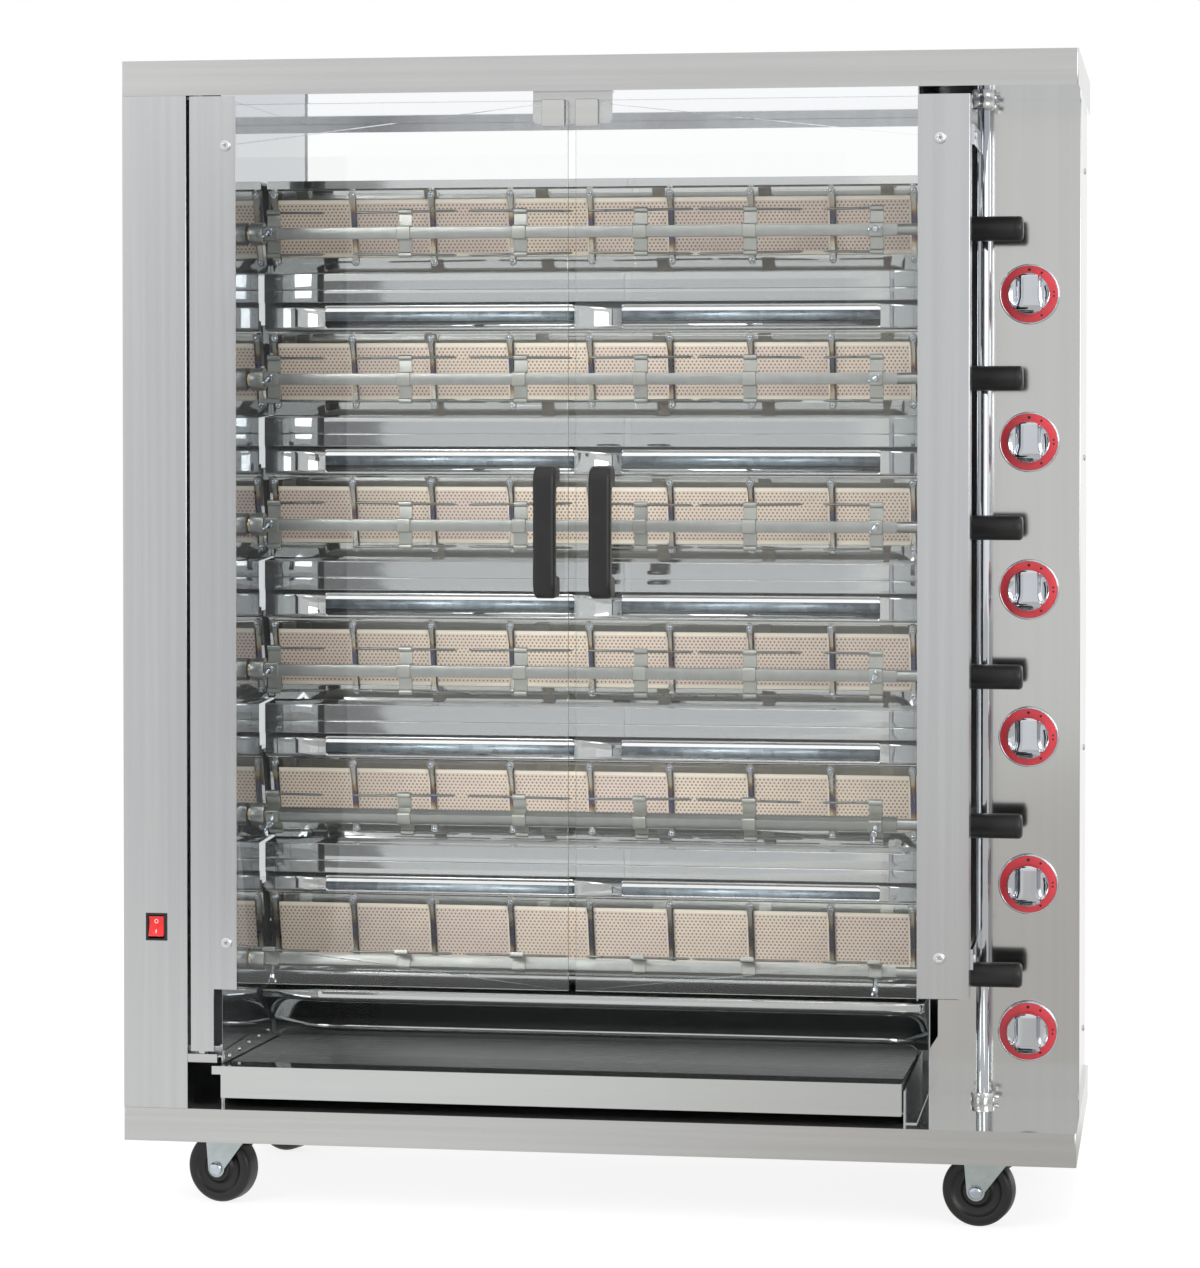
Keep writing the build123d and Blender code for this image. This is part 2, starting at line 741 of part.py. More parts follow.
# Baffle shelves: a sheet under each burner, folded down into a fascia whose toe hangs in front of the next
# burner's brow. A galvanised damper plate lies behind each of its two draught slots. The lowest shelf ends
# over the tray.
def baffle_shelves():
    x0, x1 = burner_ends()
    y_low = face_y(-face_down)
    pieces = []
    for row, z in enumerate(burner_heights):
        top = z - face_down - baffle_sheet
        start = [(y_low + baffle_hem, top), (y_low, top)]
        if row == row_count - 1:
            bend = [step(low_heel, z), step(low_lip, z), step((low_lip[0], low_lip_foot), z),
                    step(low_toe, z), step(drip_edge, z)]
            pieces.append(prism_x(folded(start + bend, -baffle_sheet), x0, x1))
            continue
        y_plate = y_burner + plate_top[0]
        z_toe = burner_heights[row + 1] + toe_rise
        bend = [step(fascia_top, z), step(fascia_lip, z), step(plate_top, z), (y_plate, z_toe)]
        shelf = prism_x(folded(start + bend, -baffle_sheet), x0, x1)
        edges = [(y_plate, z - drop) for drop in damper_drops]
        for left, right in slot_ends:
            slot = block(x_wall_l + left, x_wall_l + right, y_plate - 2 * sheet, y_plate + 2 * sheet,
                         z_toe + slot_rim, z - slot_drop)
            shelf -= fillet(slot.edges().filter_by(Axis.Y), slot_corner)
            pieces.append(prism_x(folded(edges, baffle_sheet), x_wall_l + left - damper_overlap,
                                  x_wall_l + right + damper_overlap))
        pieces.append(shelf)
    return pieces


# Spits: a square bar with a round journal, two end forks with wing screws and four double forks.
def fork_body():
    half = fork_width / 2
    waist = spit_size / 2 + fork_strap
    body = block(-half, half, -waist, waist, -waist, waist)
    body += block(-half, half, waist - fork_arm, waist, -fork_height / 2, fork_height / 2)
    for sign in (1, -1):
        body += rod_x(prong_radius + fork_strap, -half, half, prong_y, sign * prong_spread)
    return body - Box(2 * fork_width, spit_size, spit_size)


def fork(left, right):
    # left and right are how far its prongs reach to each side.
    body = fork_body()
    point = Pos(0, 0, prong_point / 2) * Cone(prong_radius, prong_tip, prong_point)
    pieces = []
    for sign in (1, -1):
        z = sign * prong_spread
        prong = rod_x(prong_radius, -left, right, prong_y, z)
        body -= rod_x(prong_radius, -fork_width, fork_width, prong_y, z)
        if right > fork_width:
            prong += Pos(right, prong_y, z) * Rot(0, 90, 0) * point
        if left > fork_width:
            prong += Pos(-left, prong_y, z) * Rot(0, -90, 0) * point
        pieces.append(prong)
    return [body] + pieces


def wing_screw():
    # Its shank presses on the bar through the front of the fork; the wings stand in front.
    y0 = -spit_size / 2
    shank = rod_y(fork_screw_radius, y0 - fork_screw_length, y0, 0, 0)
    y1 = y0 - fork_screw_length
    half = wing_thickness / 2
    wings = block(-wing_width / 2, wing_width / 2, y1 - wing_height, y1 + wing_thickness, -half, half)
    wings -= block(-wing_notch / 2, wing_notch / 2, y1 - wing_height - 1, y1 - wing_height + wing_notch_depth,
                   -wing_thickness, wing_thickness)
    return shank + wings


def spit(row):
    z = spit_heights[row]
    x0 = x_wall_l + socket_gap + socket_length - spit_socket_depth
    x1 = x_wall_r - spit_bar_end
    half = spit_size / 2
    bar = block(x0, x1, -half, half, -half, half)
    bar += rod_x(journal_radius, x1, x_handle + spit_handle_bore, 0, 0)
    x_collar = x_wall_r + spit_collar_start
    bar += rod_x(spit_collar_radius, x_collar, x_collar + spit_collar_length, 0, 0)
    reach = prong_reach + fork_width / 2
    stub = fork_width / 2
    pieces = [bar]
    for centre in fork_centres:
        pieces += [Pos(x_wall_l + centre, 0, 0) * piece for piece in fork(reach, reach)]
    hole = rod_y(fork_screw_radius, -fork_height, 0, 0, 0)
    for centre, left, right in ((fork_first, stub, reach), (fork_last, reach, stub)):
        body, *prongs = fork(left, right)
        pieces += [Pos(x_wall_l + centre, 0, 0) * piece for piece in [body - hole, *prongs, wing_screw()]]
    return [Pos(0, y_spit, z) * Rot(fork_turns[row], 0, 0) * piece for piece in pieces]


def spit_handle(row):
    z = spit_heights[row]
    grip = rod_x(spit_handle_radius, x_handle, x_handle + spit_handle_length, y_spit, z)
    grip = fillet(grip.edges().sort_by(Axis.X)[-1], spit_handle_round)
    grip = chamfer(grip.edges().sort_by(Axis.X)[0], spit_handle_chamfer)
    return grip - rod_x(journal_radius, x_handle - 1, x_handle + spit_handle_bore, y_spit, z)


# Spit sockets: shaft, square cup and sprocket. The lowest shaft runs on into the gearbox.
pitch_radius = chain_pitch / 2 / math.sin(math.pi / sprocket_teeth)


def sprocket():
    disc = Circle(pitch_radius + tooth_height)
    for place in PolarLocations(pitch_radius, sprocket_teeth):
        disc -= place * Circle(roller_radius)
    wheel = Pos(-sprocket_width / 2, 0, 0) * extrude(Plane.YZ * disc, sprocket_width)
    hub = rod_x(sprocket_hub_radius, sprocket_width / 2, sprocket_width / 2 + sprocket_hub_length, 0, 0)
    return wheel + hub - rod_x(shaft_radius, -sprocket_width, sprocket_width + sprocket_hub_length, 0, 0)


def spit_socket(row):
    z = spit_heights[row]
    x_plane = x_left + sprocket_centre
    x_cup = x_wall_l + socket_gap
    x_end = x_cup + socket_length
    x_tail = x_plane - sprocket_width / 2 - shaft_tail
    if row == row_count - 1:
        x_tail = x_left + gearbox_start + gearbox_width - motor_drive
    shaft = rod_x(shaft_radius, x_tail, x_cup, y_spit, z) + rod_x(socket_radius, x_cup, x_end, y_spit, z)
    opening = spit_size + 2 * spit_fit
    cup = Pos(0, y_spit, z) * Rot(fork_turns[row], 0, 0) * Pos(x_end - spit_socket_depth / 2, 0, 0)
    shaft -= cup * Box(spit_socket_depth + 2 * side_gap, opening, opening)
    return [shaft, Pos(x_plane, y_spit, z) * sprocket()]


# Drive chain: one loop round all sprockets, with guide blocks on the cavity wall.
def chain_loop(inner, outer, x0, x1):
    span = z_high_spit - z_low_spit
    ring = SlotCenterToCenter(span, 2 * outer) - SlotCenterToCenter(span, 2 * inner)
    middle = (z_high_spit + z_low_spit) / 2
    return Pos(x0, y_spit, middle) * extrude(Plane.YZ * Rot(0, 0, 90) * ring, x1 - x0)


def drive_chain():
    tip = pitch_radius + tooth_height
    x_plane = x_left + sprocket_centre
    half = sprocket_width / 2 + chain_gap
    outer = tip + chain_gap + chain_band
    inner = outer - chain_link_height
    loop = chain_loop(tip + chain_gap, outer, x_plane - half, x_plane + half)
    loop += chain_loop(inner, outer, x_plane - half - chain_link_plate, x_plane - half)
    loop += chain_loop(inner, outer, x_plane + half, x_plane + half + chain_link_plate)
    pieces = [loop]
    x0 = x_plane + half + chain_link_plate
    for z in (z_low_spit + row_pitch / 2, z_high_spit - row_pitch / 2):
        for sign in (1, -1):
            y = y_spit + sign * (outer - chain_link_height / 2)
            pieces.append(block(x0, x_wall_l - sheet, y - guide_depth / 2, y + guide_depth / 2,
                                z - guide_height / 2, z + guide_height / 2))
    return pieces


# Gear motor: gearbox round the lowest shaft, motor behind it, bracket on the left side panel.
def gear_motor():
    x0 = x_left + gearbox_start
    x1 = x0 + gearbox_width
    box = block(x0, x1, y_spit - gearbox_depth / 2, y_spit + gearbox_depth / 2,
                z_low_spit - gearbox_height / 2, z_low_spit + gearbox_height / 2)
    box = fillet(box.edges().filter_by(Axis.X), gearbox_round)
    box -= rod_x(shaft_radius + running_gap, x1 - motor_drive - side_gap, x1 + 1, y_spit, z_low_spit)
    y0 = y_spit + gearbox_depth / 2
    middle = (x0 + x1) / 2
    z = z_low_spit - motor_drop
    motor = rod_y(motor_radius, y0, y0 + motor_length, middle, z)
    motor = chamfer(motor.edges().sort_by(Axis.Y)[-1], motor_chamfer)
    for i in range(groove_count):
        y = y0 + motor_length * (i + 1) / (groove_count + 2)
        ring = rod_y(motor_radius + 1, y, y + groove_width, middle, z)
        motor -= ring - rod_y(motor_radius - groove_depth, y - 1, y + groove_width + 1, middle, z)
    bracket = block(x_left + sheet, x0, y_spit - motor_bracket_depth / 2, y_spit + motor_bracket_depth / 2,
                    z_low_spit - motor_bracket_height / 2, z_low_spit + motor_bracket_height / 2)
    return [box, motor, bracket]


# Switch: a bezel with a hollow body, and the rocker on two small pins.
def switch_frame():
    x = x_left + switch_offset
    z = z_deck + switch_rise
    bezel = block(x - bezel_width / 2, x + bezel_width / 2, y_front - bezel_thickness, y_front,
                  z - bezel_height / 2, z + bezel_height / 2)
    bezel = chamfer(bezel.faces().sort_by(Axis.Y)[0].edges(), bezel_bevel)
    body = block(x - switch_body_width / 2, x + switch_body_width / 2, y_front, y_front + switch_body_depth,
                 z - switch_body_height / 2, z + switch_body_height / 2)
    window = block(x - switch_window_width / 2, x + switch_window_width / 2, y_front - bezel_thickness - 1,
                   y_front - bezel_thickness + switch_window_depth,
                   z - switch_window_height / 2, z + switch_window_height / 2)
    reach = rocker_width / 2 + rocker_pin_reach + running_gap
    pins = rod_x(rocker_pin_radius + running_gap, x - reach, x + reach, y_front + rocker_pivot, z)
    return bezel + body - window - pins


def switch_rocker():
    # Drawn level about its axis, then tipped so that its upper end is pressed in.
    front = rocker_pivot + bezel_thickness
    low = rocker_half - rocker_taper
    outline = [(rocker_dip - front, 0), (-rocker_dip - front, rocker_half), (rocker_heel - rocker_taper, low),
               (rocker_heel, 0), (rocker_heel - rocker_taper, -low), (-rocker_dip - front, -rocker_half)]
    rocker = prism_x(outline, -rocker_width / 2, rocker_width / 2)
    reach = rocker_width / 2 + rocker_pin_reach
    rocker += rod_x(rocker_pin_radius, -reach, reach, 0, 0)
    place = Pos(x_left + switch_offset, y_front + rocker_pivot, z_deck + switch_rise)
    return place * Rot(-rocker_swing, 0, 0) * rocker


# Door glass, with holes for the stile screws and the handle's bolts.
x_left_stile = x_column + left_gap
x_left_glass = x_left_stile + left_glass_inset
x_glass_meet_l = x_left_glass + left_glass_width
x_glass_meet_r = x_glass_meet_l + glass_gap
x_right_stile = x_wall_r + right_stile_start
x_right_edge = x_right_stile + right_stile_width
x_left_handle = x_glass_meet_l - left_handle_inset
x_right_handle = x_glass_meet_r + right_handle_inset
x_left_screw = x_left_stile + left_screw_inset
x_right_screw = x_right_stile + right_screw_inset
z_glass_low = z_deck + glass_bottom
z_glass_top = z_ceiling - glass_top_gap
z_handle = z_deck + handle_rise
z_handle_bolts = (z_handle + handle_foot / 2, z_handle + handle_height - handle_foot / 2)
z_stile_screws = [z_deck + rise for rise in stile_screw_rises]
y_arm_bolt = y_front + door_setback + right_return - arm_lap / 2
z_arm_bolts = [z_deck + rise + arm_height / 2 for rise in arm_rises]


def door_glass(x0, x1, x_screw, x_grip):
    pane = block(x0, x1, y_glass, y_glass_back, z_glass_low, z_glass_top)
    y0 = y_glass - 1
    y1 = y_glass_back + 1
    holes = [rod_y(bolt_radius + bolt_play, y0, y1, x_screw, z) for z in z_stile_screws]
    holes += [rod_y(handle_bolt_radius + bolt_play, y0, y1, x_grip, z) for z in z_handle_bolts]
    return pane - holes


# Left door's stile: a flat strip with a narrow tail, turning on a pin at each end.
def left_door_stile():
    x0 = x_left_stile
    y0 = y_front + door_setback
    z_top_edge = z_ceiling - door_top_gap
    z_low = z_deck + left_stile_bottom
    z_tail = z_deck + left_tail_bottom
    outline = [(x0, z_tail), (x0 + left_tail_width, z_tail), (x0 + left_tail_width, z_low),
               (x0 + left_stile_width, z_low), (x0 + left_stile_width, z_top_edge), (x0, z_top_edge)]
    strip = prism_y(outline, y0, y_glass)
    strip -= [rod_y(bolt_radius + bolt_play, y0 - 1, y_glass + 1, x_left_screw, z) for z in z_stile_screws]
    for low in (z_tail, z_top_edge - pin_tab):
        strip += block(x0, x0 + pin_tab_width, y0, y_glass + pin_tab_depth, low, low + pin_tab)
    strip += rod_z(pin_radius, z_top_edge - pin_tab, z_top_edge + pin_reach, x_pin, y_pin)
    plate_top = z_deck + hinge_plate_rise
    strip += rod_z(pin_radius, plate_top - pin_reach, z_tail + pin_tab, x_pin, y_pin)
    strip += rod_z(pin_collar_radius, plate_top + hinge_play, z_tail, x_pin, y_pin)
    return strip


def arm_bolt_holes(x0, x1):
    return [rod_x(handle_bolt_radius + running_gap, x0, x1, y_arm_bolt, z) for z in z_arm_bolts]


# Right door's stile: a strip with a deep fold along its right edge.
def right_door_stile():
    y0 = y_front + door_setback
    z0 = z_deck + right_stile_bottom
    z1 = z_ceiling - right_stile_top_gap
    strip = block(x_right_stile, x_right_edge, y0, y_glass, z0, z1)
    strip += block(x_right_edge - stile_sheet, x_right_edge, y0, y0 + right_return, z0, z1)
    strip = fillet(upright_edges(strip, [(x_right_edge, y0)]), stile_sheet / 2)
    holes = [rod_y(bolt_radius + bolt_play, y0 - 1, y_glass + 1, x_right_screw, z) for z in z_stile_screws]
    holes += arm_bolt_holes(x_right_edge - 2 * stile_sheet, x_right_edge + 1)
    return strip - holes


# Right door's pivot tube, with the two arms that carry the door in front of the spit handles.
def right_door_tube():
    tube = rod_z(tube_radius, z_deck + tube_end_gap, z_ceiling - tube_end_gap, x_tube, y_tube)
    y0 = y_front + door_setback + right_return - arm_lap
    for rise in arm_rises:
        low = z_deck + rise
        arm = block(x_right_edge, x_right_edge + arm_thickness, y0, y_tube, low, low + arm_height)
        half = arm_thickness / 2
        web = block(x_right_edge, x_tube, y_tube - half, y_tube + half, low, low + arm_height)
        tube += arm + web
    tube -= arm_bolt_holes(x_right_edge - 1, x_right_edge + 2 * arm_thickness)
    return tube - rod_z(tube_radius - tube_wall, z_deck, z_ceiling, x_tube, y_tube)


# Door handle: a bow with two feet on the glass.
def door_handle(x):
    y0 = y_glass - handle_reach
    outer = block(x - handle_width / 2, x + handle_width / 2, y0, y_glass, z_handle, z_handle + handle_height)
    outer = fillet(outer.edges().filter_by(Axis.X).group_by(Axis.Y)[0], handle_crown)
    gap = block(x - handle_width, x + handle_width, y0 + grip_thickness, y_glass + 1,
                z_handle + handle_foot, z_handle + handle_height - handle_foot)
    gap = fillet(gap.edges().filter_by(Axis.X).group_by(Axis.Y)[0], handle_round)
    bow = outer - gap
    bow = fillet(bow.edges().filter_by(Axis.Z).group_by(Axis.Y)[0], handle_edge)
    y_bolt = y_glass - handle_bolt_depth
    return bow - [rod_y(handle_bolt_radius, y_bolt, y_glass + 1, x, z) for z in z_handle_bolts]


# Fittings on a door: stile screws with nuts, handle bolts, and the steel clip over the glass.
def door_fittings(x_screw, x_grip, x_clip):
    y0 = y_front + door_setback
    pieces = []
    for z in z_stile_screws:
        length = y_glass_back + nut_height + nut_stand - y0
        pieces.append(dome_screw_y(stile_screw_radius, stile_screw_head, bolt_radius, length, x_screw, y0, z))
        pieces.append(hex_nut_y(nut_radius, y_glass_back, y_glass_back + nut_height, x_screw, z, bolt_radius))
    for z in z_handle_bolts:
        bolt = rod_y(handle_bolt_radius, y_glass - handle_bolt_depth, y_glass_back, x_grip, z)
        pieces.append(bolt + rod_y(handle_bolt_head, y_glass_back, y_glass_back + handle_bolt_cap, x_grip, z))
    z1 = z_glass_top + clip_sheet
    z0 = z1 - clip_height
    x0 = x_clip - clip_width / 2
    x1 = x_clip + clip_width / 2
    clip = block(x0, x1, y_glass - clip_sheet, y_glass_back + clip_sheet, z0, z1)
    clip -= block(x0 - 1, x1 + 1, y_glass, y_glass_back, z0 - 1, z_glass_top)
    pieces.append(clip)
    return pieces


def arm_bolts():
    x0 = x_right_edge - stile_sheet
    x1 = x_right_edge + arm_thickness
    pieces = []
    for z in z_arm_bolts:
        shank = rod_x(handle_bolt_radius, x0, x1, y_arm_bolt, z)
        head = rod_x(handle_bolt_head, x1, x1 + handle_bolt_cap, y_arm_bolt, z)
        nut = rod_x(handle_bolt_head, x0 - handle_bolt_cap, x0, y_arm_bolt, z)
        pieces.append(shank + head + nut)
    return pieces


# A collar round the pivot tube, with a set screw towards the control side.
def tube_collar(z0):
    collar = rod_z(collar_radius, z0, z0 + collar_height, x_tube, y_tube)
    middle = z0 + collar_height / 2
    collar += rod_x(set_screw_radius, x_tube, x_tube + collar_radius + set_screw_reach, y_tube, middle)
    return collar - rod_z(tube_radius + running_gap, z0 - 1, z0 + collar_height + 1, x_tube, y_tube)


# Drip tray: a shallow pan with a taller front plate and a flat brim behind it.
def drip_tray():
    x0 = x_wall_l + tray_left_gap
    x1 = x_wall_r - tray_right_gap
    y0 = y_front + tray_setback
    y1 = y0 + tray_depth
    z0 = z_deck + tray_bottom
    z_front = z0 + tray_front_height
    z_rear = z0 + tray_rear_height
    side = [(y0, z0), (y1, z0), (y1, z_rear), (y0, z_front)]
    pan = prism_x(side, x0, x1)
    inside = [(y0 + tray_sheet, z0 + tray_sheet), (y1 - tray_sheet, z0 + tray_sheet),
              (y1 - tray_sheet, z_front + 1), (y0 + tray_sheet, z_front + 1)]
    pan -= prism_x(inside, x0 + tray_sheet, x1 - tray_sheet)
    pan += block(x0 - tray_ear, x1, y0 - tray_sheet, y0, z_front - tray_ear_height, z_front)
    pan += block(x0, x1, y0 - tray_sheet, y0, z0, z_front)
    slope = (z_front - z_rear) / tray_depth
    drop = tray_brim * slope
    brim = [(y0 - tray_sheet, z_front), (y0 - tray_sheet, z_front - tray_sheet),
            (y0 + tray_brim, z_front - drop - tray_sheet), (y0 + tray_brim, z_front - drop)]
    pan += prism_x(brim, x0, x1)
    return pan


# Tray rails: a riveted angle on the left wall, and a folded one standing on the deck at the right.
def tray_rails():
    y0 = y_front + rail_front
    y1 = y0 + rail_length
    z_shelf = z_deck + tray_bottom
    x0 = x_wall_l
    left = block(x0, x0 + sheet, y0, y1, z_shelf - sheet, z_shelf - sheet + rail_height)
    left += block(x0, x0 + rail_shelf, y0, y1, z_shelf - sheet, z_shelf)
    left += block(x0, x0 + sheet, y0, y1, z_deck, z_shelf)
    x_tray = x_wall_r - tray_right_gap
    x1 = x_tray + rail_gap
    right = block(x1, x1 + sheet, y0, y1, z_deck, z_shelf + tray_rear_height)
    right += block(x1 + sheet - rail_shelf, x1 + sheet, y0, y1, z_shelf - sheet, z_shelf)
    right += block(x1, x_wall_r, y0, y1, z_deck, z_deck + sheet)
    z_rivet = z_shelf - sheet + rail_height - rivet_rise
    rivets = []
    for i in range(rivet_count):
        y = y0 + rail_length * (i + 0.5) / rivet_count
        rivets.append(rod_x(rivet_radius, x0 + sheet, x0 + sheet + rivet_height, y, z_rivet))
    return [left, right] + [fillet(rivet.edges().sort_by(Axis.X)[-1], rivet_round) for rivet in rivets]


# Knobs: a skirt, a round face with a grip across it, and the stem into the gas valve.
def knob(z):
    y_skirt = y_panel - knob_gap
    skirt = rod_y(knob_radius, y_skirt - knob_skirt, y_skirt, x_knob, z)
    skirt = chamfer(skirt.edges().sort_by(Axis.Y)[0], knob_bevel)
    y_face = y_skirt - knob_skirt
    face = rod_y(knob_face_radius, y_face - knob_face_height, y_face, x_knob, z)
    face = fillet(face.edges().sort_by(Axis.Y)[0], knob_face_round)
    y_grip = y_face - knob_face_height
    grip = block(x_knob - grip_width / 2, x_knob + grip_width / 2, y_grip - grip_height, y_face,
                 z - grip_length / 2, z + grip_length / 2)
    grip = fillet(grip.edges().filter_by(Axis.Y), grip_round)
    grip = fillet(grip.faces().sort_by(Axis.Y)[0].edges(), grip_edge)
    y_stem = y_skirt - stem_in_knob
    body = skirt + face + grip - rod_y(stem_radius, y_stem, y_skirt + 1, x_knob, z)
    stem = rod_y(stem_radius, y_stem, y_panel + sheet + stem_in_valve, x_knob, z)
    return [body, stem]


# Gas train: a square manifold with a valve and a pipe for each burner, and the inlet through the back.
def burner_pipe(z_valve, z_burner):
    y_valve = y_panel + sheet + valve_neck + valve_depth / 2
    x_start = x_knob - valve_width / 2
    x_rise = x_start - pipe_run
    x_jet = x_wall_r - burner_end_gap + injector_length
    route = [(x_start, y_valve, z_valve), (x_rise, y_valve, z_valve), (x_rise, y_valve, z_burner),
             (x_rise, y_jet, z_burner), (x_jet, y_jet, z_burner)]
    shortest = min(y_jet - y_valve, x_rise - x_jet)
    path = FilletPolyline(*route, radius=min(pipe_bend, pipe_bend_share * shortest))
    start = Plane(origin=route[0], z_dir=(-1, 0, 0))
    return sweep(start * Circle(pipe_radius), path=path)


def gas_train():
    x0 = x_knob - manifold_size / 2
    x1 = x_knob + manifold_size / 2
    y_body = y_panel + sheet + valve_neck
    y0 = y_body + valve_depth
    y1 = y0 + manifold_size
    z0 = knob_heights[-1] - manifold_overhang
    z1 = knob_heights[0] + manifold_overhang
    manifold = block(x0, x1, y0, y1, z0, z1)
    manifold -= block(x0 + manifold_wall, x1 - manifold_wall, y0 + manifold_wall, y1 - manifold_wall,
                      z0 + manifold_wall, z1 - manifold_wall)
    z_inlet = knob_heights[-1] - inlet_drop
    manifold -= rod_y(inlet_bore, y0 + manifold_wall, y1 + 1, x_knob, z_inlet)
    inlet = rod_y(inlet_radius, y1, y_back + inlet_reach, x_knob, z_inlet)
    inlet += rod_y(inlet_nut_radius, y_rear_in - inlet_nut, y_rear_in, x_knob, z_inlet)
    inlet += rod_y(inlet_nut_radius, y_back, y_back + inlet_lock_nut, x_knob, z_inlet)
    inlet -= rod_y(inlet_bore, y1 - 1, y_back + inlet_reach + 1, x_knob, z_inlet)
    pieces = [manifold, inlet]
    for z_valve, z_burner in zip(knob_heights, burner_heights):
        valve = block(x_knob - valve_width / 2, x_knob + valve_width / 2, y_body, y0,
                      z_valve - valve_height / 2, z_valve + valve_height / 2)
        valve += rod_y(valve_neck_radius, y_panel + sheet, y_body, x_knob, z_valve)
        y_bore = y_panel + sheet + stem_in_valve + side_gap
        valve -= rod_y(stem_radius + running_gap, y_panel, y_bore, x_knob, z_valve)
        pieces.append(valve)
        pieces.append(burner_pipe(z_valve, z_burner))
        x_jet = x_wall_r - burner_end_gap
        pieces.append(rod_x(injector_radius, x_jet, x_jet + injector_length, y_jet, z_burner))
    return pieces


# Casters: fork with kingpin under a welded plate, and a wheel with its axle.
caster_places = [(x, y) for y in (y_front + caster_setback, y_back - caster_setback)
                 for x in (x_left + caster_inset_left, x_right - caster_inset_right)]
z_plate = z_deck - sheet - caster_plate
z_axle = wheel_diameter / 2
z_crown = wheel_diameter + fork_top_gap
fork_inner = wheel_width / 2 + hub_stand + side_gap
caster_names = ("front_left", "front_right", "rear_left", "rear_right")


def turned(place, turn, piece):
    return Pos(place[0], place[1], 0) * Rot(0, 0, turn) * piece


def caster_fork():
    # Drawn trailing towards -X about the swivel axis at the origin.
    x_axle = -caster_trail
    x_foot = x_axle - fork_foot_radius
    x_tail = x_foot - crown_tail
    x_head = fork_head_radius - crown_inset
    leg = [(x_foot, z_axle), (x_foot - knee, z_crown - knee_drop), (x_tail - tail_flare, z_crown - tail_drop),
           (x_tail, z_crown), (x_head, z_crown), (x_head - shoulder, z_crown - shoulder_drop),
           (x_axle + fork_foot_radius, z_axle)]
    half = fork_inner + fork_wall
    fork_piece = block(x_tail, x_head, -half, half, z_crown, z_crown + fork_wall)
    for side in (1, -1):
        y0, y1 = sorted((side * fork_inner, side * (fork_inner + fork_wall)))
        fork_piece += prism_y(leg, y0, y1)
        fork_piece += rod_y(fork_foot_radius, y0, y1, x_axle, z_axle)
    fork_piece += rod_z(fork_head_radius, z_crown, z_plate - side_gap, 0, 0)
    fork_piece += rod_z(kingpin_radius, z_crown, z_plate + caster_plate, 0, 0)
    return fork_piece - rod_y(axle_radius + running_gap, -2 * wheel_width, 2 * wheel_width, x_axle, z_axle)


def caster_wheel():
    x_axle = -caster_trail
    tyre = rod_y(wheel_diameter / 2, -wheel_width / 2, wheel_width / 2, x_axle, z_axle)
    tyre = fillet(tyre.edges().filter_by(GeomType.CIRCLE), wheel_edge)
    half = wheel_width / 2 + hub_stand
    tyre += rod_y(hub_radius, -half, half, x_axle, z_axle)
    reach = fork_inner + fork_wall + side_gap
    axle = rod_y(axle_radius, -reach, reach, x_axle, z_axle)
    axle += rod_y(axle_nut_radius, reach, reach + axle_nut, x_axle, z_axle)
    axle += rod_y(axle_nut_radius, -reach - axle_nut, -reach, x_axle, z_axle)
    return [tyre - rod_y(axle_radius, -wheel_width, wheel_width, x_axle, z_axle), axle]


# Small brackets on the frame: catch plate, lower hinge plate, tube collars, caster plates, cable gland.
def frame_brackets():
    middle = (x_glass_meet_l + x_glass_meet_r) / 2
    x0 = middle - catch_plate_width / 2
    x1 = middle + catch_plate_width / 2
    y0 = y_glass_back + clip_sheet + catch_gap
    plate = block(x0, x1, y0, y0 + sheet, z_ceiling - catch_plate_height, z_ceiling)
    plate = fillet(plate.edges().filter_by(Axis.Y).group_by(Axis.Z)[0], catch_corner)
    plate += block(x0, x1, y0, y0 + catch_plate_foot, z_ceiling - sheet, z_ceiling)
    pieces = [plate]
    z1 = z_ceiling - magnet_drop
    for x in (x_glass_meet_l - left_clip_inset, x_glass_meet_r + right_clip_inset):
        pieces.append(block(x - clip_width / 2, x + clip_width / 2, y0 + sheet, y0 + sheet + magnet_depth,
                            z1 - magnet_height, z1))
    z = z_deck + hinge_plate_rise
    hinge = block(x_column, x_wall_l, y_front + sheet, y_wall, z - hinge_plate, z)
    hinge += block(x_column, x_wall_l, y_front + sheet, y_front + 2 * sheet, z - hinge_plate_lip, z)
    pieces.append(hinge - rod_z(pin_radius + running_gap, z - 2 * hinge_plate, z + 1, x_pin, y_pin))
    pieces += [tube_collar(z0) for z0 in (z_deck, z_ceiling - collar_height)]
    plate = Pos(0, 0, z_plate + caster_plate / 2) * Box(caster_plate_width, caster_plate_depth, caster_plate)
    plate -= rod_z(kingpin_radius + running_gap, z_plate - 1, z_deck, 0, 0)
    pieces += [Pos(*place) * plate for place in caster_places]
    x = x_left + gland_offset
    z = z_deck + gland_rise
    gland = rod_y(gland_radius, y_rear_in - gland_nut, y_back + gland_length, x, z)
    gland += rod_y(gland_nut_radius, y_back, y_back + gland_nut, x, z)
    gland += rod_y(gland_nut_radius, y_rear_in - gland_nut, y_rear_in, x, z)
    pieces.append(gland - rod_y(gland_bore, y_rear_in - gland_nut - 1, y_back + gland_length + 1, x, z))
    return pieces


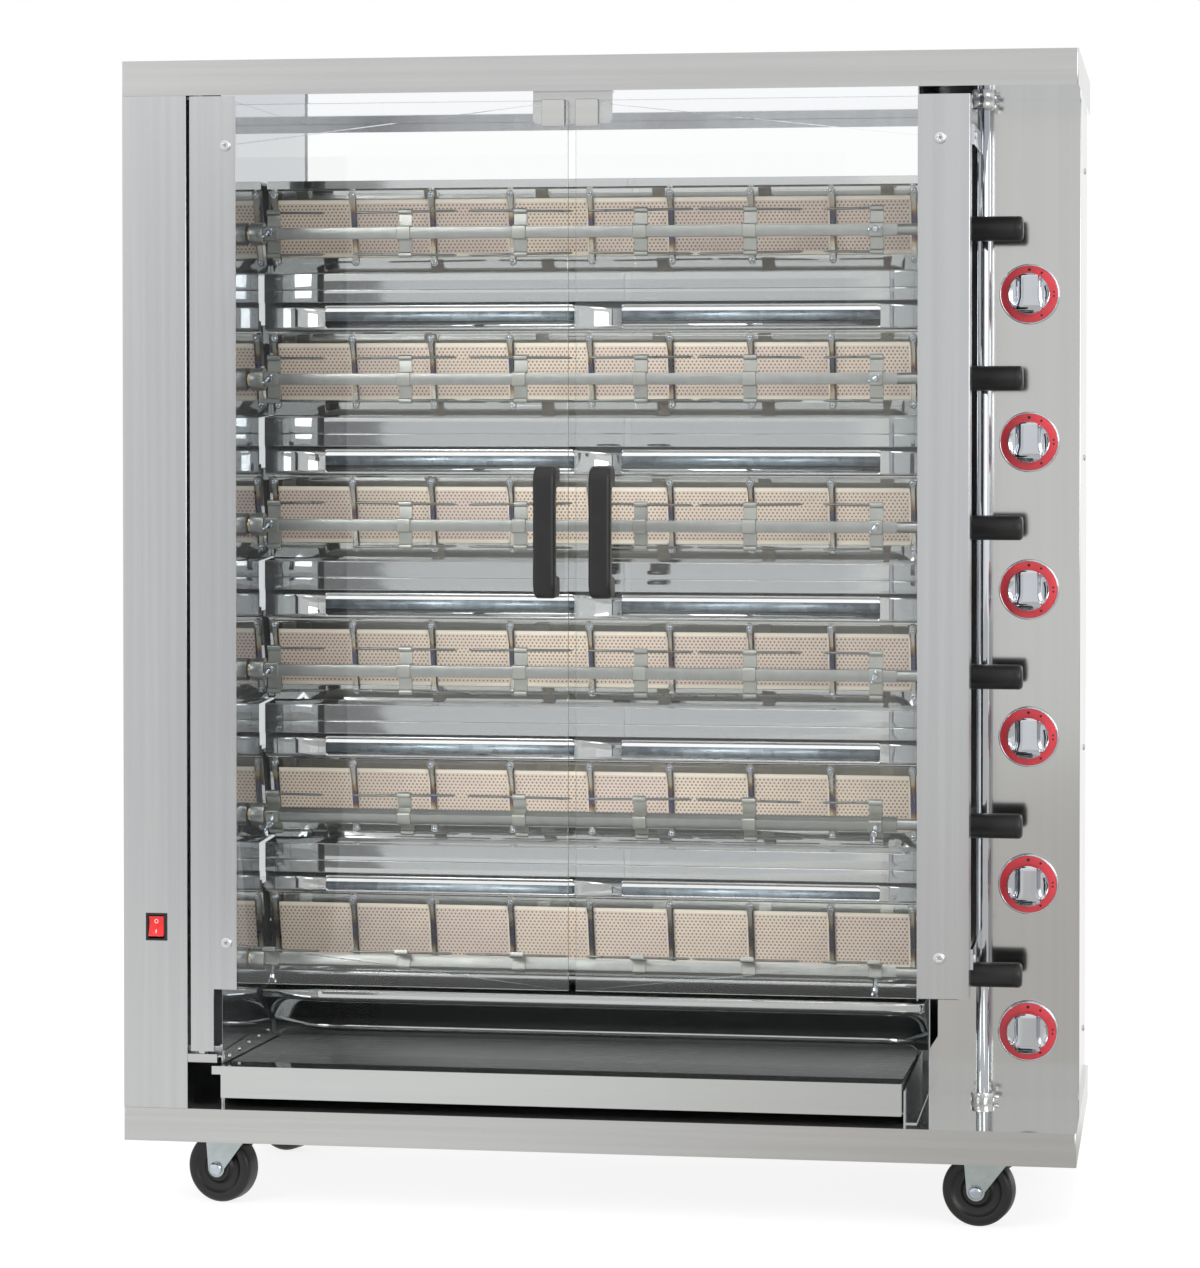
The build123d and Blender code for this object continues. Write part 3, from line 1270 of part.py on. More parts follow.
save("base_tray", base_tray())
save("top_cap", top_cap())
save("drive_housing", drive_housing())
save("left_cavity_wall", *left_cavity_wall())
save("right_cavity_wall", right_cavity_wall())
save("control_housing", *control_housing())
save("rear_panel", rear_panel())
save("burner_housings", *burner_housings())
save("ceramic_tiles", *ceramic_tiles())
save("tile_clamps", *tile_clamps())
save("baffle_shelves", *baffle_shelves())
save("gas_train", *gas_train())
save("gear_motor", *gear_motor())
save("drive_chain", *drive_chain())
save("tray_rails", *tray_rails())
save("switch_frame", switch_frame())
save("switch_rocker", switch_rocker())
save("frame_brackets", *frame_brackets())
save("drip_tray", drip_tray())
for row in range(row_count):
    number = row + 1
    save(f"spit_socket_{number}", *spit_socket(row))
    save(f"spit_{number}", *spit(row))
    save(f"spit_handle_{number}", spit_handle(row))
    save(f"knob_{number}", *knob(knob_heights[row]))
save("left_door_glass", door_glass(x_left_glass, x_glass_meet_l, x_left_screw, x_left_handle))
save("left_door_stile", left_door_stile())
save("left_door_handle", door_handle(x_left_handle))
save("left_door_fittings", *door_fittings(x_left_screw, x_left_handle, x_glass_meet_l - left_clip_inset))
x_right_glass = x_right_edge - right_glass_inset
save("right_door_glass", door_glass(x_glass_meet_r, x_right_glass, x_right_screw, x_right_handle))
save("right_door_stile", right_door_stile())
save("right_door_tube", right_door_tube())
save("right_door_handle", door_handle(x_right_handle))
save("right_door_fittings",
     *door_fittings(x_right_screw, x_right_handle, x_glass_meet_r + right_clip_inset),
     *arm_bolts())
for name, place, turn in zip(caster_names, caster_places, caster_turns):
    save(f"caster_fork_{name}", turned(place, turn, caster_fork()))
    save(f"caster_wheel_{name}", *[turned(place, turn, piece) for piece in caster_wheel()])
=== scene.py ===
# Looks of a gas chicken rotisserie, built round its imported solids. Lengths are in metres, turns in degrees.
import math
import bmesh
import bpy
import numpy as np
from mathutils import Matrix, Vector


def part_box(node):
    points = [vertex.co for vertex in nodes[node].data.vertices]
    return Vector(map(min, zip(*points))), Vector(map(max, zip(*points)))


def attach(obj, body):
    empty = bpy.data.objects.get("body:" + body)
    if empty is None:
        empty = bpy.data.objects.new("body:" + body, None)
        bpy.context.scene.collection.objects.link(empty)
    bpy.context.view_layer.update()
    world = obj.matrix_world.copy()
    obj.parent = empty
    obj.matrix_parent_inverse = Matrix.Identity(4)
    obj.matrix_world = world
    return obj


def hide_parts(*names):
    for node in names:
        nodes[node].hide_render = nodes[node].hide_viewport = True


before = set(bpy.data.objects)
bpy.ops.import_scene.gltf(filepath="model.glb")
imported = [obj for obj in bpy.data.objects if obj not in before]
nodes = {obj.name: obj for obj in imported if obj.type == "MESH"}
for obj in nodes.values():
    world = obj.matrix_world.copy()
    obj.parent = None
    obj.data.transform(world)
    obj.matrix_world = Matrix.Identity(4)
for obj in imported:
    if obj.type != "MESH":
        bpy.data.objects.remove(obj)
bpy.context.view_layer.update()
mm = 0.001
rows = range(1, 7)
corners = ("front_left", "front_right", "rear_left", "rear_right")
print("frame loaded:", len(nodes), "nodes")

# Where the photograph was taken from.
view = {"place": (0.7054, -4.7186, 0.9619), "lens": 109.3, "sensor": 36.0, "pitch": -1.02, "turn": 8.806,
        "rise": -0.12}

cameraData = bpy.data.cameras.new("camera")
cameraData.lens = view["lens"]
cameraData.sensor_width = view["sensor"]
cameraData.shift_y = view["rise"]
camera = bpy.data.objects.new("camera", cameraData)
camera.location = view["place"]
camera.rotation_euler = (math.radians(90 + view["pitch"]), 0, math.radians(view["turn"]))
bpy.context.scene.collection.objects.link(camera)
bpy.context.scene.camera = camera
bpy.context.scene.view_settings.view_transform = "Standard"


# ---- places read from the frame

def lowest(name, axis):
    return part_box(name)[0][axis]


def highest(name, axis):
    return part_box(name)[1][axis]


def middle(name, axis):
    return (lowest(name, axis) + highest(name, axis)) / 2


frontY = lowest("drive_housing", 1)
deckZ = lowest("drive_housing", 2)
ceilingZ = highest("drive_housing", 2)
wallLeft = lowest("burner_housings", 0)
wallRight = highest("burner_housings", 0)
panelY = lowest("control_housing", 1)
spitY = middle("spit_handle_1", 1)
spitZ = [middle(f"spit_handle_{n}", 2) for n in rows]
knobX = middle("knob_1", 0)
knobZ = [middle(f"knob_{n}", 2) for n in rows]


# ---- shapes as arrays
# A shape holds its points, its faces, a material number for each face, and for each point where it lay
# before the shape was moved ("local") and a number that tells repeated shapes apart.

def shape(points, faces, slot=0):
    points = np.asarray(points, float).reshape(-1, 3)
    return {"points": points, "faces": faces, "slots": np.full(len(faces), slot),
            "local": points.copy(), "number": np.zeros(len(points))}


def shell(grid, closedU=False, closedV=True, capped=True, slot=0):
    # Each cell of the grid is a quad; the open ends of a tube are closed by one face each.
    rowCount, colCount = grid.shape[:2]
    index = np.arange(rowCount * colCount).reshape(rowCount, colCount)
    i, j = np.meshgrid(np.arange(rowCount - (not closedU)), np.arange(colCount - (not closedV)),
                       indexing="ij")
    iNext, jNext = (i + 1) % rowCount, (j + 1) % colCount
    quads = np.stack([index[i, j], index[i, jNext], index[iNext, jNext], index[iNext, j]], -1)
    faces = quads.reshape(-1, 4).tolist()
    if capped and closedV and not closedU:
        faces += [index[0, ::-1].tolist(), index[-1].tolist()]
    return shape(grid, faces, slot)


def joined(*shapes):
    counts = np.cumsum([0] + [len(s["points"]) for s in shapes])
    faces = [[int(start) + k for k in face] for start, s in zip(counts, shapes) for face in s["faces"]]
    out = {"faces": faces}
    for key in ("points", "local", "number", "slots"):
        out[key] = np.concatenate([s[key] for s in shapes])
    return out


def moved(s, *steps):
    # Each step is a 4 x 4 matrix; the first one is done first.
    points = s["points"]
    for step in steps:
        points = points @ step[:3, :3].T + step[:3, 3]
    return {**s, "points": points}


def numbered(s, value):
    return {**s, "number": np.full(len(s["points"]), float(value))}


def painted(s, slot):
    return {**s, "slots": np.full(len(s["faces"]), slot)}


def shift(x=0.0, y=0.0, z=0.0):
    matrix = np.eye(4)
    matrix[:3, 3] = (x, y, z)
    return matrix


def turn(axis, degrees):
    # Turn about one axis: the two others mix by the cosine and sine of the angle.
    a, b = {"x": (1, 2), "y": (2, 0), "z": (0, 1)}[axis]
    c, s = math.cos(math.radians(degrees)), math.sin(math.radians(degrees))
    matrix = np.eye(4)
    matrix[a, a] = matrix[b, b] = c
    matrix[b, a], matrix[a, b] = s, -s
    return matrix


def basis(a, b, c):
    # The three axes of a drawing laid along three directions of the cabinet.
    matrix = np.eye(4)
    matrix[:3, 0], matrix[:3, 1], matrix[:3, 2] = a, b, c
    return matrix


toFront = basis((1, 0, 0), (0, 0, 1), (0, -1, 0))     # drawn face on, standing towards the viewer
alongX = basis((0, 1, 0), (0, 0, 1), (1, 0, 0))       # outline in depth and height, carried to the right


def rounded(points, radii, steps=5):
    # Every corner gives way to an arc that touches both of its runs. The arc's middle lies on the corner's
    # bisector at radius / sin(half angle); its points are the two radii mixed by sines of the swept angle.
    p = np.asarray(points, float)
    r = np.broadcast_to(np.asarray(radii, float), (len(p),))
    back = np.roll(p, 1, axis=0) - p
    ahead = np.roll(p, -1, axis=0) - p
    back /= np.linalg.norm(back, axis=1, keepdims=True)
    ahead /= np.linalg.norm(ahead, axis=1, keepdims=True)
    half = np.arccos(np.clip((back * ahead).sum(1), -1, 1)) / 2
    half = np.minimum(half, math.pi / 2 - 1e-4)
    bisector = back + ahead
    bisector /= np.linalg.norm(bisector, axis=1, keepdims=True) + 1e-12
    centre = p + bisector * (r / np.sin(half))[:, None]
    cut = (r / np.tan(half))[:, None]
    start, end = p + back * cut - centre, p + ahead * cut - centre
    swept = (math.pi - 2 * half)[:, None]
    t = np.linspace(0, 1, steps)[None]
    a, b = np.sin((1 - t) * swept) / np.sin(swept), np.sin(t * swept) / np.sin(swept)
    arcs = centre[:, None] + start[:, None] * a[..., None] + end[:, None] * b[..., None]
    return arcs.reshape(-1, p.shape[1])


def ring(radius, count, start=0.0):
    angle = math.radians(start) + np.arange(count) * 2 * math.pi / count
    return np.stack([radius * np.cos(angle), radius * np.sin(angle)], -1)


def rectangle(width, height):
    x, y = width / 2, height / 2
    return [(-x, -y), (x, -y), (x, y), (-x, y)]


def inset(outline, distance):
    # Each point steps inwards, square to the line between its two neighbours.
    run = np.roll(outline, -1, axis=0) - np.roll(outline, 1, axis=0)
    run /= np.linalg.norm(run, axis=1, keepdims=True) + 1e-12
    return outline - distance * np.stack([run[:, 1], -run[:, 0]], -1)


def prism(outline, depth, edge=0.0, steps=3, slot=0):
    # An outline carried along its third axis, with a quarter round of the given radius at both ends.
    outline = np.asarray(outline, float)
    t = np.linspace(0, math.pi / 2, steps) if edge else np.array([math.pi / 2])
    layers = [np.column_stack([inset(outline, edge * (1 - math.sin(a))),
                               np.full(len(outline), edge * (1 - math.cos(a)))]) for a in t]
    upper = [np.column_stack([layer[:, :2], depth - layer[:, 2]]) for layer in layers[::-1]]
    return shell(np.array(layers + upper), slot=slot)


def turned(profile, count=32, slot=0):
    # Lathe: (radius, height) pairs carried round the third axis.
    profile = np.asarray(profile, float)
    angle = np.arange(count) * 2 * math.pi / count
    grid = np.empty((len(profile), count, 3))
    grid[..., 0] = profile[:, :1] * np.cos(angle)
    grid[..., 1] = profile[:, :1] * np.sin(angle)
    grid[..., 2] = profile[:, 1:]
    return shell(grid, slot=slot)


def swept(path, section, up, slot=0):
    # The section stands square to the path. Its first axis is the cross product of up and the path's
    # direction, and its second axis is square to both of those.
    path = np.asarray(path, float)
    run = np.gradient(path, axis=0)
    run /= np.linalg.norm(run, axis=1, keepdims=True)
    side = np.cross(np.asarray(up, float), run)
    side /= np.linalg.norm(side, axis=1, keepdims=True)
    rise = np.cross(run, side)
    grid = path[:, None] + section[None, :, :1] * side[:, None] + section[None, :, 1:] * rise[:, None]
    return shell(grid, slot=slot)


def panHead(radius, height, count=16, slot=0, cross=0.42, deep=0.55):
    # A low dome, its height falling with the square of the distance from the middle. A cross is sunk in:
    # its depth is greatest in the middle and along four arms, by the fourth power of cos(2 x angle).
    share = np.array([1.0, 1.0, 0.93, 0.75, 0.55, cross, cross * 0.7, 0.0])
    lift = np.array([0.0, 0.45, 0.72, 0.92, 1.0, 1.0, 1.0, 1.0]) * height
    sunk = np.array([0.0, 0.0, 0.0, 0.0, 0.0, 0.35, 1.0, 1.0]) * deep * height
    angle = np.arange(count) * 2 * math.pi / count
    arms = np.cos(2 * angle) ** 4
    arms = np.where(share[:, None] < 0.1, 1.0, arms[None])
    grid = np.empty((len(share), count, 3))
    grid[..., 0] = radius * share[:, None] * np.cos(angle)
    grid[..., 1] = radius * share[:, None] * np.sin(angle)
    grid[..., 2] = lift[:, None] - sunk[:, None] * arms
    return shell(grid, slot=slot)


def build(name, s, materials, body, replaced=(), modifiers=(), crease=35, merge=1e-7):
    # Puts a shape into a mesh: doubles merged, normals outwards, edges sharper than the crease kept sharp.
    mesh = bpy.data.meshes.new(name)
    mesh.from_pydata(s["points"], [], s["faces"])
    mesh.polygons.foreach_set("material_index", s["slots"].astype(np.int32))
    for key, kind in (("local", "FLOAT_VECTOR"), ("number", "FLOAT")):
        attribute = mesh.attributes.new(key, kind, "POINT")
        field = "vector" if key == "local" else "value"
        attribute.data.foreach_set(field, s[key].astype(np.float32).ravel())
    work = bmesh.new()
    work.from_mesh(mesh)
    bmesh.ops.remove_doubles(work, verts=work.verts, dist=merge)
    bmesh.ops.dissolve_degenerate(work, edges=work.edges, dist=merge)
    if all(edge.is_manifold for edge in work.edges):
        bmesh.ops.recalc_face_normals(work, faces=work.faces)
    work.to_mesh(mesh)
    work.free()
    mesh.polygons.foreach_set("use_smooth", np.ones(len(mesh.polygons), bool))
    mesh.set_sharp_from_angle(angle=math.radians(crease))
    for material in materials:
        mesh.materials.append(material)
    piece = bpy.data.objects.new(name, mesh)
    bpy.context.scene.collection.objects.link(piece)
    for kind, values in modifiers:
        modifier = piece.modifiers.new(kind, kind)
        for key, value in values.items():
            setattr(modifier, key, value)
    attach(piece, body)
    if replaced:
        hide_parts(*replaced)
    return piece


# ---- shader helpers

def colour(red, green, blue):
    # 0 to 255 as a picture shows it, made linear.
    shares = [v / 255 for v in (red, green, blue)]
    return tuple(c / 12.92 if c < 0.04045 else ((c + 0.055) / 1.055) ** 2.4 for c in shares) + (1.0,)


def add(tree, kind, inputs=None, **settings):
    made = tree.nodes.new("ShaderNode" + kind)
    for key, value in settings.items():
        setattr(made, key, value)
    for key, value in (inputs or {}).items():
        if isinstance(value, bpy.types.NodeSocket):
            tree.links.new(value, made.inputs[key])
        else:
            made.inputs[key].default_value = value
    return made


def maths(tree, operation, a, b=0.0, clamp=False):
    return add(tree, "Math", {0: a, 1: b}, operation=operation, use_clamp=clamp).outputs[0]


def between(tree, value, low, high, outLow=0.0, outHigh=1.0, smooth=True):
    kind = "SMOOTHSTEP" if smooth else "LINEAR"
    inputs = {"Value": value, "From Min": low, "From Max": high, "To Min": outLow, "To Max": outHigh}
    return add(tree, "MapRange", inputs, interpolation_type=kind, clamp=True).outputs["Result"]


def blended(tree, share, a, b):
    return add(tree, "Mix", {"Factor": share, 6: a, 7: b}, data_type="RGBA").outputs[2]


def noise(tree, vector, scale, detail=2.0, rough=0.5):
    inputs = {"Vector": vector, "Scale": scale, "Detail": detail, "Roughness": rough}
    return add(tree, "TexNoise", inputs).outputs["Fac"]


def group(name, inputs, outputs):
    # A node group with its named sockets; returns the group, its entry's sockets and its exit node.
    tree = bpy.data.node_groups.new(name, "ShaderNodeTree")
    for key, kind, value in inputs:
        socket = tree.interface.new_socket(key, in_out="INPUT", socket_type="NodeSocket" + kind)
        if value is not None:
            socket.default_value = value
    for key, kind in outputs:
        tree.interface.new_socket(key, in_out="OUTPUT", socket_type="NodeSocket" + kind)
    entry = tree.nodes.new("NodeGroupInput").outputs
    return tree, entry, tree.nodes.new("NodeGroupOutput")


def placeGroup(tree, made, inputs):
    placed = tree.nodes.new("ShaderNodeGroup")
    placed.node_tree = made
    for key, value in inputs.items():
        if isinstance(value, bpy.types.NodeSocket):
            tree.links.new(value, placed.inputs[key])
        else:
            placed.inputs[key].default_value = value
    return placed.outputs


def makeGrain():
    # Rolling and brushing lines: noise stretched along one axis, a fine one for the roughness and the
    # height, a wide one for the tone.
    tree, given, out = group("grain", [("Place", "Vector", None), ("Fine", "Vector", (1500.0, 1500.0, 12.0)),
                                       ("Wide", "Vector", (120.0, 120.0, 1.5))],
                             [("Fine", "Float"), ("Wide", "Float")])
    fine = add(tree, "VectorMath", {0: given["Place"], 1: given["Fine"]}, operation="MULTIPLY").outputs[0]
    wide = add(tree, "VectorMath", {0: given["Place"], 1: given["Wide"]}, operation="MULTIPLY").outputs[0]
    tree.links.new(noise(tree, fine, 1.0, 3.0), out.inputs["Fine"])
    tree.links.new(noise(tree, wide, 1.0, 2.0), out.inputs["Wide"])
    return tree


def makeSmudge():
    # Handling marks: two soft noises multiplied, so that they come in patches.
    tree, given, out = group("smudge", [("Place", "Vector", None), ("Scale", "Float", 9.0)],
                             [("Mask", "Float")])
    broad = between(tree, noise(tree, given["Place"], given["Scale"], 2.0), 0.35, 0.7)
    finer = noise(tree, given["Place"], maths(tree, "MULTIPLY", given["Scale"], 7.0), 3.0, 0.6)
    tree.links.new(maths(tree, "MULTIPLY", broad, finer), out.inputs["Mask"])
    return tree


def makeRipple():
    # Slow waves of a thin polished sheet, in metres of height.
    tree, given, out = group("ripple", [("Place", "Vector", None), ("Scale", "Float", 6.0),
                                        ("Height", "Float", 0.0002)], [("Height", "Float")])
    slow = noise(tree, given["Place"], given["Scale"], 1.0)
    tree.links.new(maths(tree, "MULTIPLY", slow, given["Height"]), out.inputs["Height"])
    return tree


def makeSpangle():
    # Zinc crystals: every Voronoi cell has its own tone, broken by a finer noise.
    tree, given, out = group("spangle", [("Place", "Vector", None), ("Scale", "Float", 120.0)],
                             [("Tone", "Float")])
    bent = add(tree, "TexNoise", {"Vector": given["Place"], "Scale": given["Scale"], "Detail": 2.0})
    mixed = add(tree, "VectorMath", {0: bent.outputs["Color"], 1: (0.006, 0.006, 0.006), 2: given["Place"]},
                operation="MULTIPLY_ADD").outputs[0]
    cells = add(tree, "TexVoronoi", {"Vector": mixed, "Scale": given["Scale"]}).outputs["Color"]
    tone = add(tree, "SeparateColor", {0: cells}).outputs[0]
    tree.links.new(tone, out.inputs["Tone"])
    return tree


def makeTilePattern():
    # Staggered rows of bores: the place in the row is folded into one pitch, every other row shifted by
    # half of it, and a bore is where the distance from the cell's middle is small.
    tree, given, out = group("tilePattern", [("Place", "Vector", None), ("Pitch", "Float", 0.0051),
                                             ("Row", "Float", 0.0042), ("Bore", "Float", 0.00095),
                                             ("Half Width", "Float", 0.0455),
                                             ("Half Height", "Float", 0.0322)],
                             [("Bore", "Float"), ("Border", "Float"), ("Dish Shade", "Float")])
    parts = add(tree, "SeparateXYZ", {0: given["Place"]}).outputs
    rowPlace = maths(tree, "DIVIDE", parts[1], given["Row"])
    rowNumber = maths(tree, "FLOOR", maths(tree, "ADD", rowPlace, 0.5))
    stagger = maths(tree, "MULTIPLY", maths(tree, "FLOORED_MODULO", rowNumber, 2.0), 0.5)
    colPlace = maths(tree, "ADD", maths(tree, "DIVIDE", parts[0], given["Pitch"]), stagger)
    colNumber = maths(tree, "FLOOR", maths(tree, "ADD", colPlace, 0.5))
    across = maths(tree, "MULTIPLY", maths(tree, "SUBTRACT", colPlace, colNumber), given["Pitch"])
    up = maths(tree, "MULTIPLY", maths(tree, "SUBTRACT", rowPlace, rowNumber), given["Row"])
    squares = [maths(tree, "MULTIPLY", value, value) for value in (across, up)]
    away = maths(tree, "SQRT", maths(tree, "ADD", *squares))
    ratio = maths(tree, "DIVIDE", away, given["Bore"])
    insideX = maths(tree, "LESS_THAN", maths(tree, "ABSOLUTE", parts[0]), given["Half Width"])
    insideY = maths(tree, "LESS_THAN", maths(tree, "ABSOLUTE", parts[1]), given["Half Height"])
    inside = maths(tree, "MULTIPLY", insideX, insideY)
    bore = maths(tree, "MULTIPLY", between(tree, ratio, 1.15, 0.75), inside)
    # The dish is a wider ring round each bore; it only carries painted shade.
    dishShade = maths(tree, "MULTIPLY", between(tree, ratio, 2.2, 0.8), inside)
    tree.links.new(bore, out.inputs["Bore"])
    tree.links.new(dishShade, out.inputs["Dish Shade"])
    tree.links.new(maths(tree, "SUBTRACT", 1.0, inside), out.inputs["Border"])
    return tree


grainGroup = makeGrain()
smudgeGroup = makeSmudge()
rippleGroup = makeRipple()
spangleGroup = makeSpangle()
tileGroup = makeTilePattern()


def begin(name):
    material = bpy.data.materials.new(name)
    material.use_nodes = True
    tree = material.node_tree
    tree.nodes.clear()
    return material, tree, add(tree, "OutputMaterial")


def objectPlace(tree):
    return add(tree, "TexCoord").outputs["Object"]


def localPlace(tree):
    return add(tree, "Attribute", attribute_name="local").outputs["Vector"]


def pieceNumber(tree):
    return add(tree, "Attribute", attribute_name="number").outputs["Fac"]


def finish(tree, out, inputs, height=None, distance=1.0, strength=1.0):
    shader = add(tree, "BsdfPrincipled", inputs)
    if height is not None:
        bump = add(tree, "Bump", {"Height": height, "Distance": distance, "Strength": strength})
        tree.links.new(bump.outputs[0], shader.inputs["Normal"])
    tree.links.new(shader.outputs[0], out.inputs["Surface"])
    return shader


grainWays = {"x": ((12.0, 1500.0, 1500.0), (1.2, 90.0, 90.0)),
             "z": ((1500.0, 1500.0, 12.0), (90.0, 90.0, 1.2)),
             "y": ((1500.0, 12.0, 1500.0), (90.0, 1.2, 90.0))}


def sheetSteel(name, tone, rough, way="z", streak=0.03, wave=0.00008, waveScale=5.0, spread=0.05, marks=0.04,
               scratch=0.0000005, metal=1.0):
    # Stainless sheet: a tone with faint streaks along its grain, roughness from grain and handling marks.
    material, tree, out = begin(name)
    place = objectPlace(tree)
    fine, wide = grainWays[way]
    lines = placeGroup(tree, grainGroup, {"Place": place, "Fine": fine, "Wide": wide})
    mark = placeGroup(tree, smudgeGroup, {"Place": place, "Scale": 5.0})["Mask"]
    darker = tuple(c * (1 - streak * 2) for c in tone[:3]) + (1.0,)
    base = blended(tree, between(tree, lines["Wide"], 0.3, 0.7), darker, tone)
    grain = between(tree, lines["Fine"], 0.3, 0.7, rough - spread / 2, rough + spread / 2, False)
    value = maths(tree, "ADD", grain, maths(tree, "MULTIPLY", mark, marks))
    slow = placeGroup(tree, rippleGroup, {"Place": place, "Scale": waveScale, "Height": wave})["Height"]
    fineHeight = maths(tree, "MULTIPLY", lines["Fine"], scratch)
    finish(tree, out, {"Base Color": base, "Metallic": metal, "Roughness": value},
           maths(tree, "ADD", slow, fineHeight))
    return material


def plainMetal(name, tone, rough, spread=0.08, scale=60.0, bump=0.000005, dark=0.85):
    # Plated or cast metal: cloudy tone and roughness, with a slight skin.
    material, tree, out = begin(name)
    place = objectPlace(tree)
    cloud = noise(tree, place, scale, 4.0, 0.6)
    fine = noise(tree, place, scale * 20, 2.0)
    darker = tuple(c * dark for c in tone[:3]) + (1.0,)
    base = blended(tree, between(tree, cloud, 0.3, 0.7), darker, tone)
    value = between(tree, cloud, 0.3, 0.7, rough - spread / 2, rough + spread / 2, False)
    finish(tree, out, {"Base Color": base, "Metallic": 1.0, "Roughness": value},
           maths(tree, "MULTIPLY", fine, bump))
    return material


def galvanised(name):
    material, tree, out = begin(name)
    place = objectPlace(tree)
    tone = placeGroup(tree, spangleGroup, {"Place": place, "Scale": 110.0})["Tone"]
    cloud = noise(tree, place, 14.0, 3.0)
    base = blended(tree, tone, colour(150, 163, 172), colour(190, 203, 211))
    base = blended(tree, between(tree, cloud, 0.35, 0.7, 0.0, 0.5), base, colour(120, 134, 146))
    finish(tree, out, {"Base Color": base, "Metallic": 0.85,
                       "Roughness": between(tree, tone, 0.0, 1.0, 0.28, 0.5, False)},
           maths(tree, "MULTIPLY", tone, 0.00001))
    return material


def ceramic(name):
    # Unglazed plaque: cream, a plain lighter border, rows of bores, each tile a little different.
    material, tree, out = begin(name)
    place = localPlace(tree)
    number = pieceNumber(tree)
    pattern = placeGroup(tree, tileGroup, {"Place": place})
    odd = add(tree, "TexWhiteNoise", {"W": number}, noise_dimensions="1D").outputs["Value"]
    cloud = noise(tree, place, 40.0, 3.0)
    share = between(tree, odd, 0.0, 1.0, 0.0, 1.0, False)
    body = blended(tree, share, colour(234, 218, 198), colour(226, 208, 196))
    body = blended(tree, between(tree, cloud, 0.4, 0.75, 0.0, 0.3), body, colour(210, 190, 180))
    body = blended(tree, pattern["Border"], body, colour(246, 236, 218))
    # Painted shade: darker in a ring round each bore, and dark brown in the bores, which are not cut.
    rim = blended(tree, maths(tree, "MULTIPLY", pattern["Dish Shade"], 0.4), body, colour(176, 146, 128))
    base = blended(tree, pattern["Bore"], rim, colour(112, 80, 60))
    height = maths(tree, "SUBTRACT", maths(tree, "MULTIPLY", noise(tree, place, 2500.0, 2.0), 0.00002),
                   maths(tree, "MULTIPLY", pattern["Bore"], 0.0006))
    finish(tree, out, {"Base Color": base, "Roughness": between(tree, cloud, 0.3, 0.7, 0.85, 0.95, False),
                       "Specular IOR Level": 0.25}, height)
    return material


def tintedSteel(name):
    # Clamp strips: bright at their ends, with straw, brown, purple and blue heat colours along the middle.
    # "local" runs along the strip in its second axis.
    material, tree, out = begin(name)
    place = localPlace(tree)
    along = add(tree, "SeparateXYZ", {0: place}).outputs[1]
    number = pieceNumber(tree)
    odd = add(tree, "TexWhiteNoise", {"W": number}, noise_dimensions="1D").outputs["Value"]
    cloud = noise(tree, objectPlace(tree), 45.0, 2.0)
    cool = between(tree, maths(tree, "ABSOLUTE", along), 0.004, 0.037, 0.0, 1.0, False)
    heat = maths(tree, "SUBTRACT", 1.0, cool)
    heat = maths(tree, "ADD", heat, between(tree, cloud, 0.3, 0.7, -0.22, 0.12, False))
    heat = maths(tree, "ADD", heat, between(tree, odd, 0.0, 1.0, -0.35, 0.12, False), clamp=True)
    ramp = add(tree, "ValToRGB", {"Fac": heat})
    stops = [(0.0, colour(214, 210, 200)), (0.3, colour(206, 192, 160)), (0.45, colour(170, 135, 95)),
             (0.58, colour(122, 92, 92)), (0.72, colour(96, 88, 128)), (0.86, colour(92, 96, 118)),
             (1.0, colour(88, 90, 96))]
    while len(ramp.color_ramp.elements) < len(stops):
        ramp.color_ramp.elements.new(0.5)
    for element, (place, tone) in zip(ramp.color_ramp.elements, stops):
        element.position, element.color = place, tone
    finish(tree, out, {"Base Color": ramp.outputs["Color"], "Metallic": 1.0,
                       "Roughness": between(tree, cloud, 0.3, 0.7, 0.22, 0.38, False)},
           maths(tree, "MULTIPLY", cloud, 0.00002))
    return material


def plastic(name, tone, rough, coat=0.0, skin=0.00001, scale=1800.0):
    # Moulded plastic: fine skin in the height, a slow change in the sheen.
    material, tree, out = begin(name)
    place = objectPlace(tree)
    cloud = noise(tree, place, 30.0, 3.0)
    lighter = tuple(c * 1.25 for c in tone[:3]) + (1.0,)
    base = blended(tree, between(tree, cloud, 0.3, 0.7), tone, lighter)
    value = between(tree, cloud, 0.3, 0.7, rough - 0.05, rough + 0.05, False)
    finish(tree, out, {"Base Color": base, "Roughness": value, "Coat Weight": coat, "Coat Roughness": 0.1},
           maths(tree, "MULTIPLY", noise(tree, place, scale, 2.0), skin))
    return material


def glassMaterial(name):
    # Clear toughened glass; lamps shine through it.
    material, tree, out = begin(name)
    shader = add(tree, "BsdfPrincipled", {"Base Color": colour(253, 254, 254), "Metallic": 0.0,
                                          "Roughness": 0.0, "IOR": 1.5, "Transmission Weight": 1.0})
    clear = add(tree, "BsdfTransparent", {"Color": colour(251, 253, 253)})
    ray = add(tree, "LightPath").outputs["Is Shadow Ray"]
    mixed = add(tree, "MixShader", {0: ray, 1: shader.outputs[0], 2: clear.outputs[0]})
    tree.links.new(mixed.outputs[0], out.inputs["Surface"])
    return material


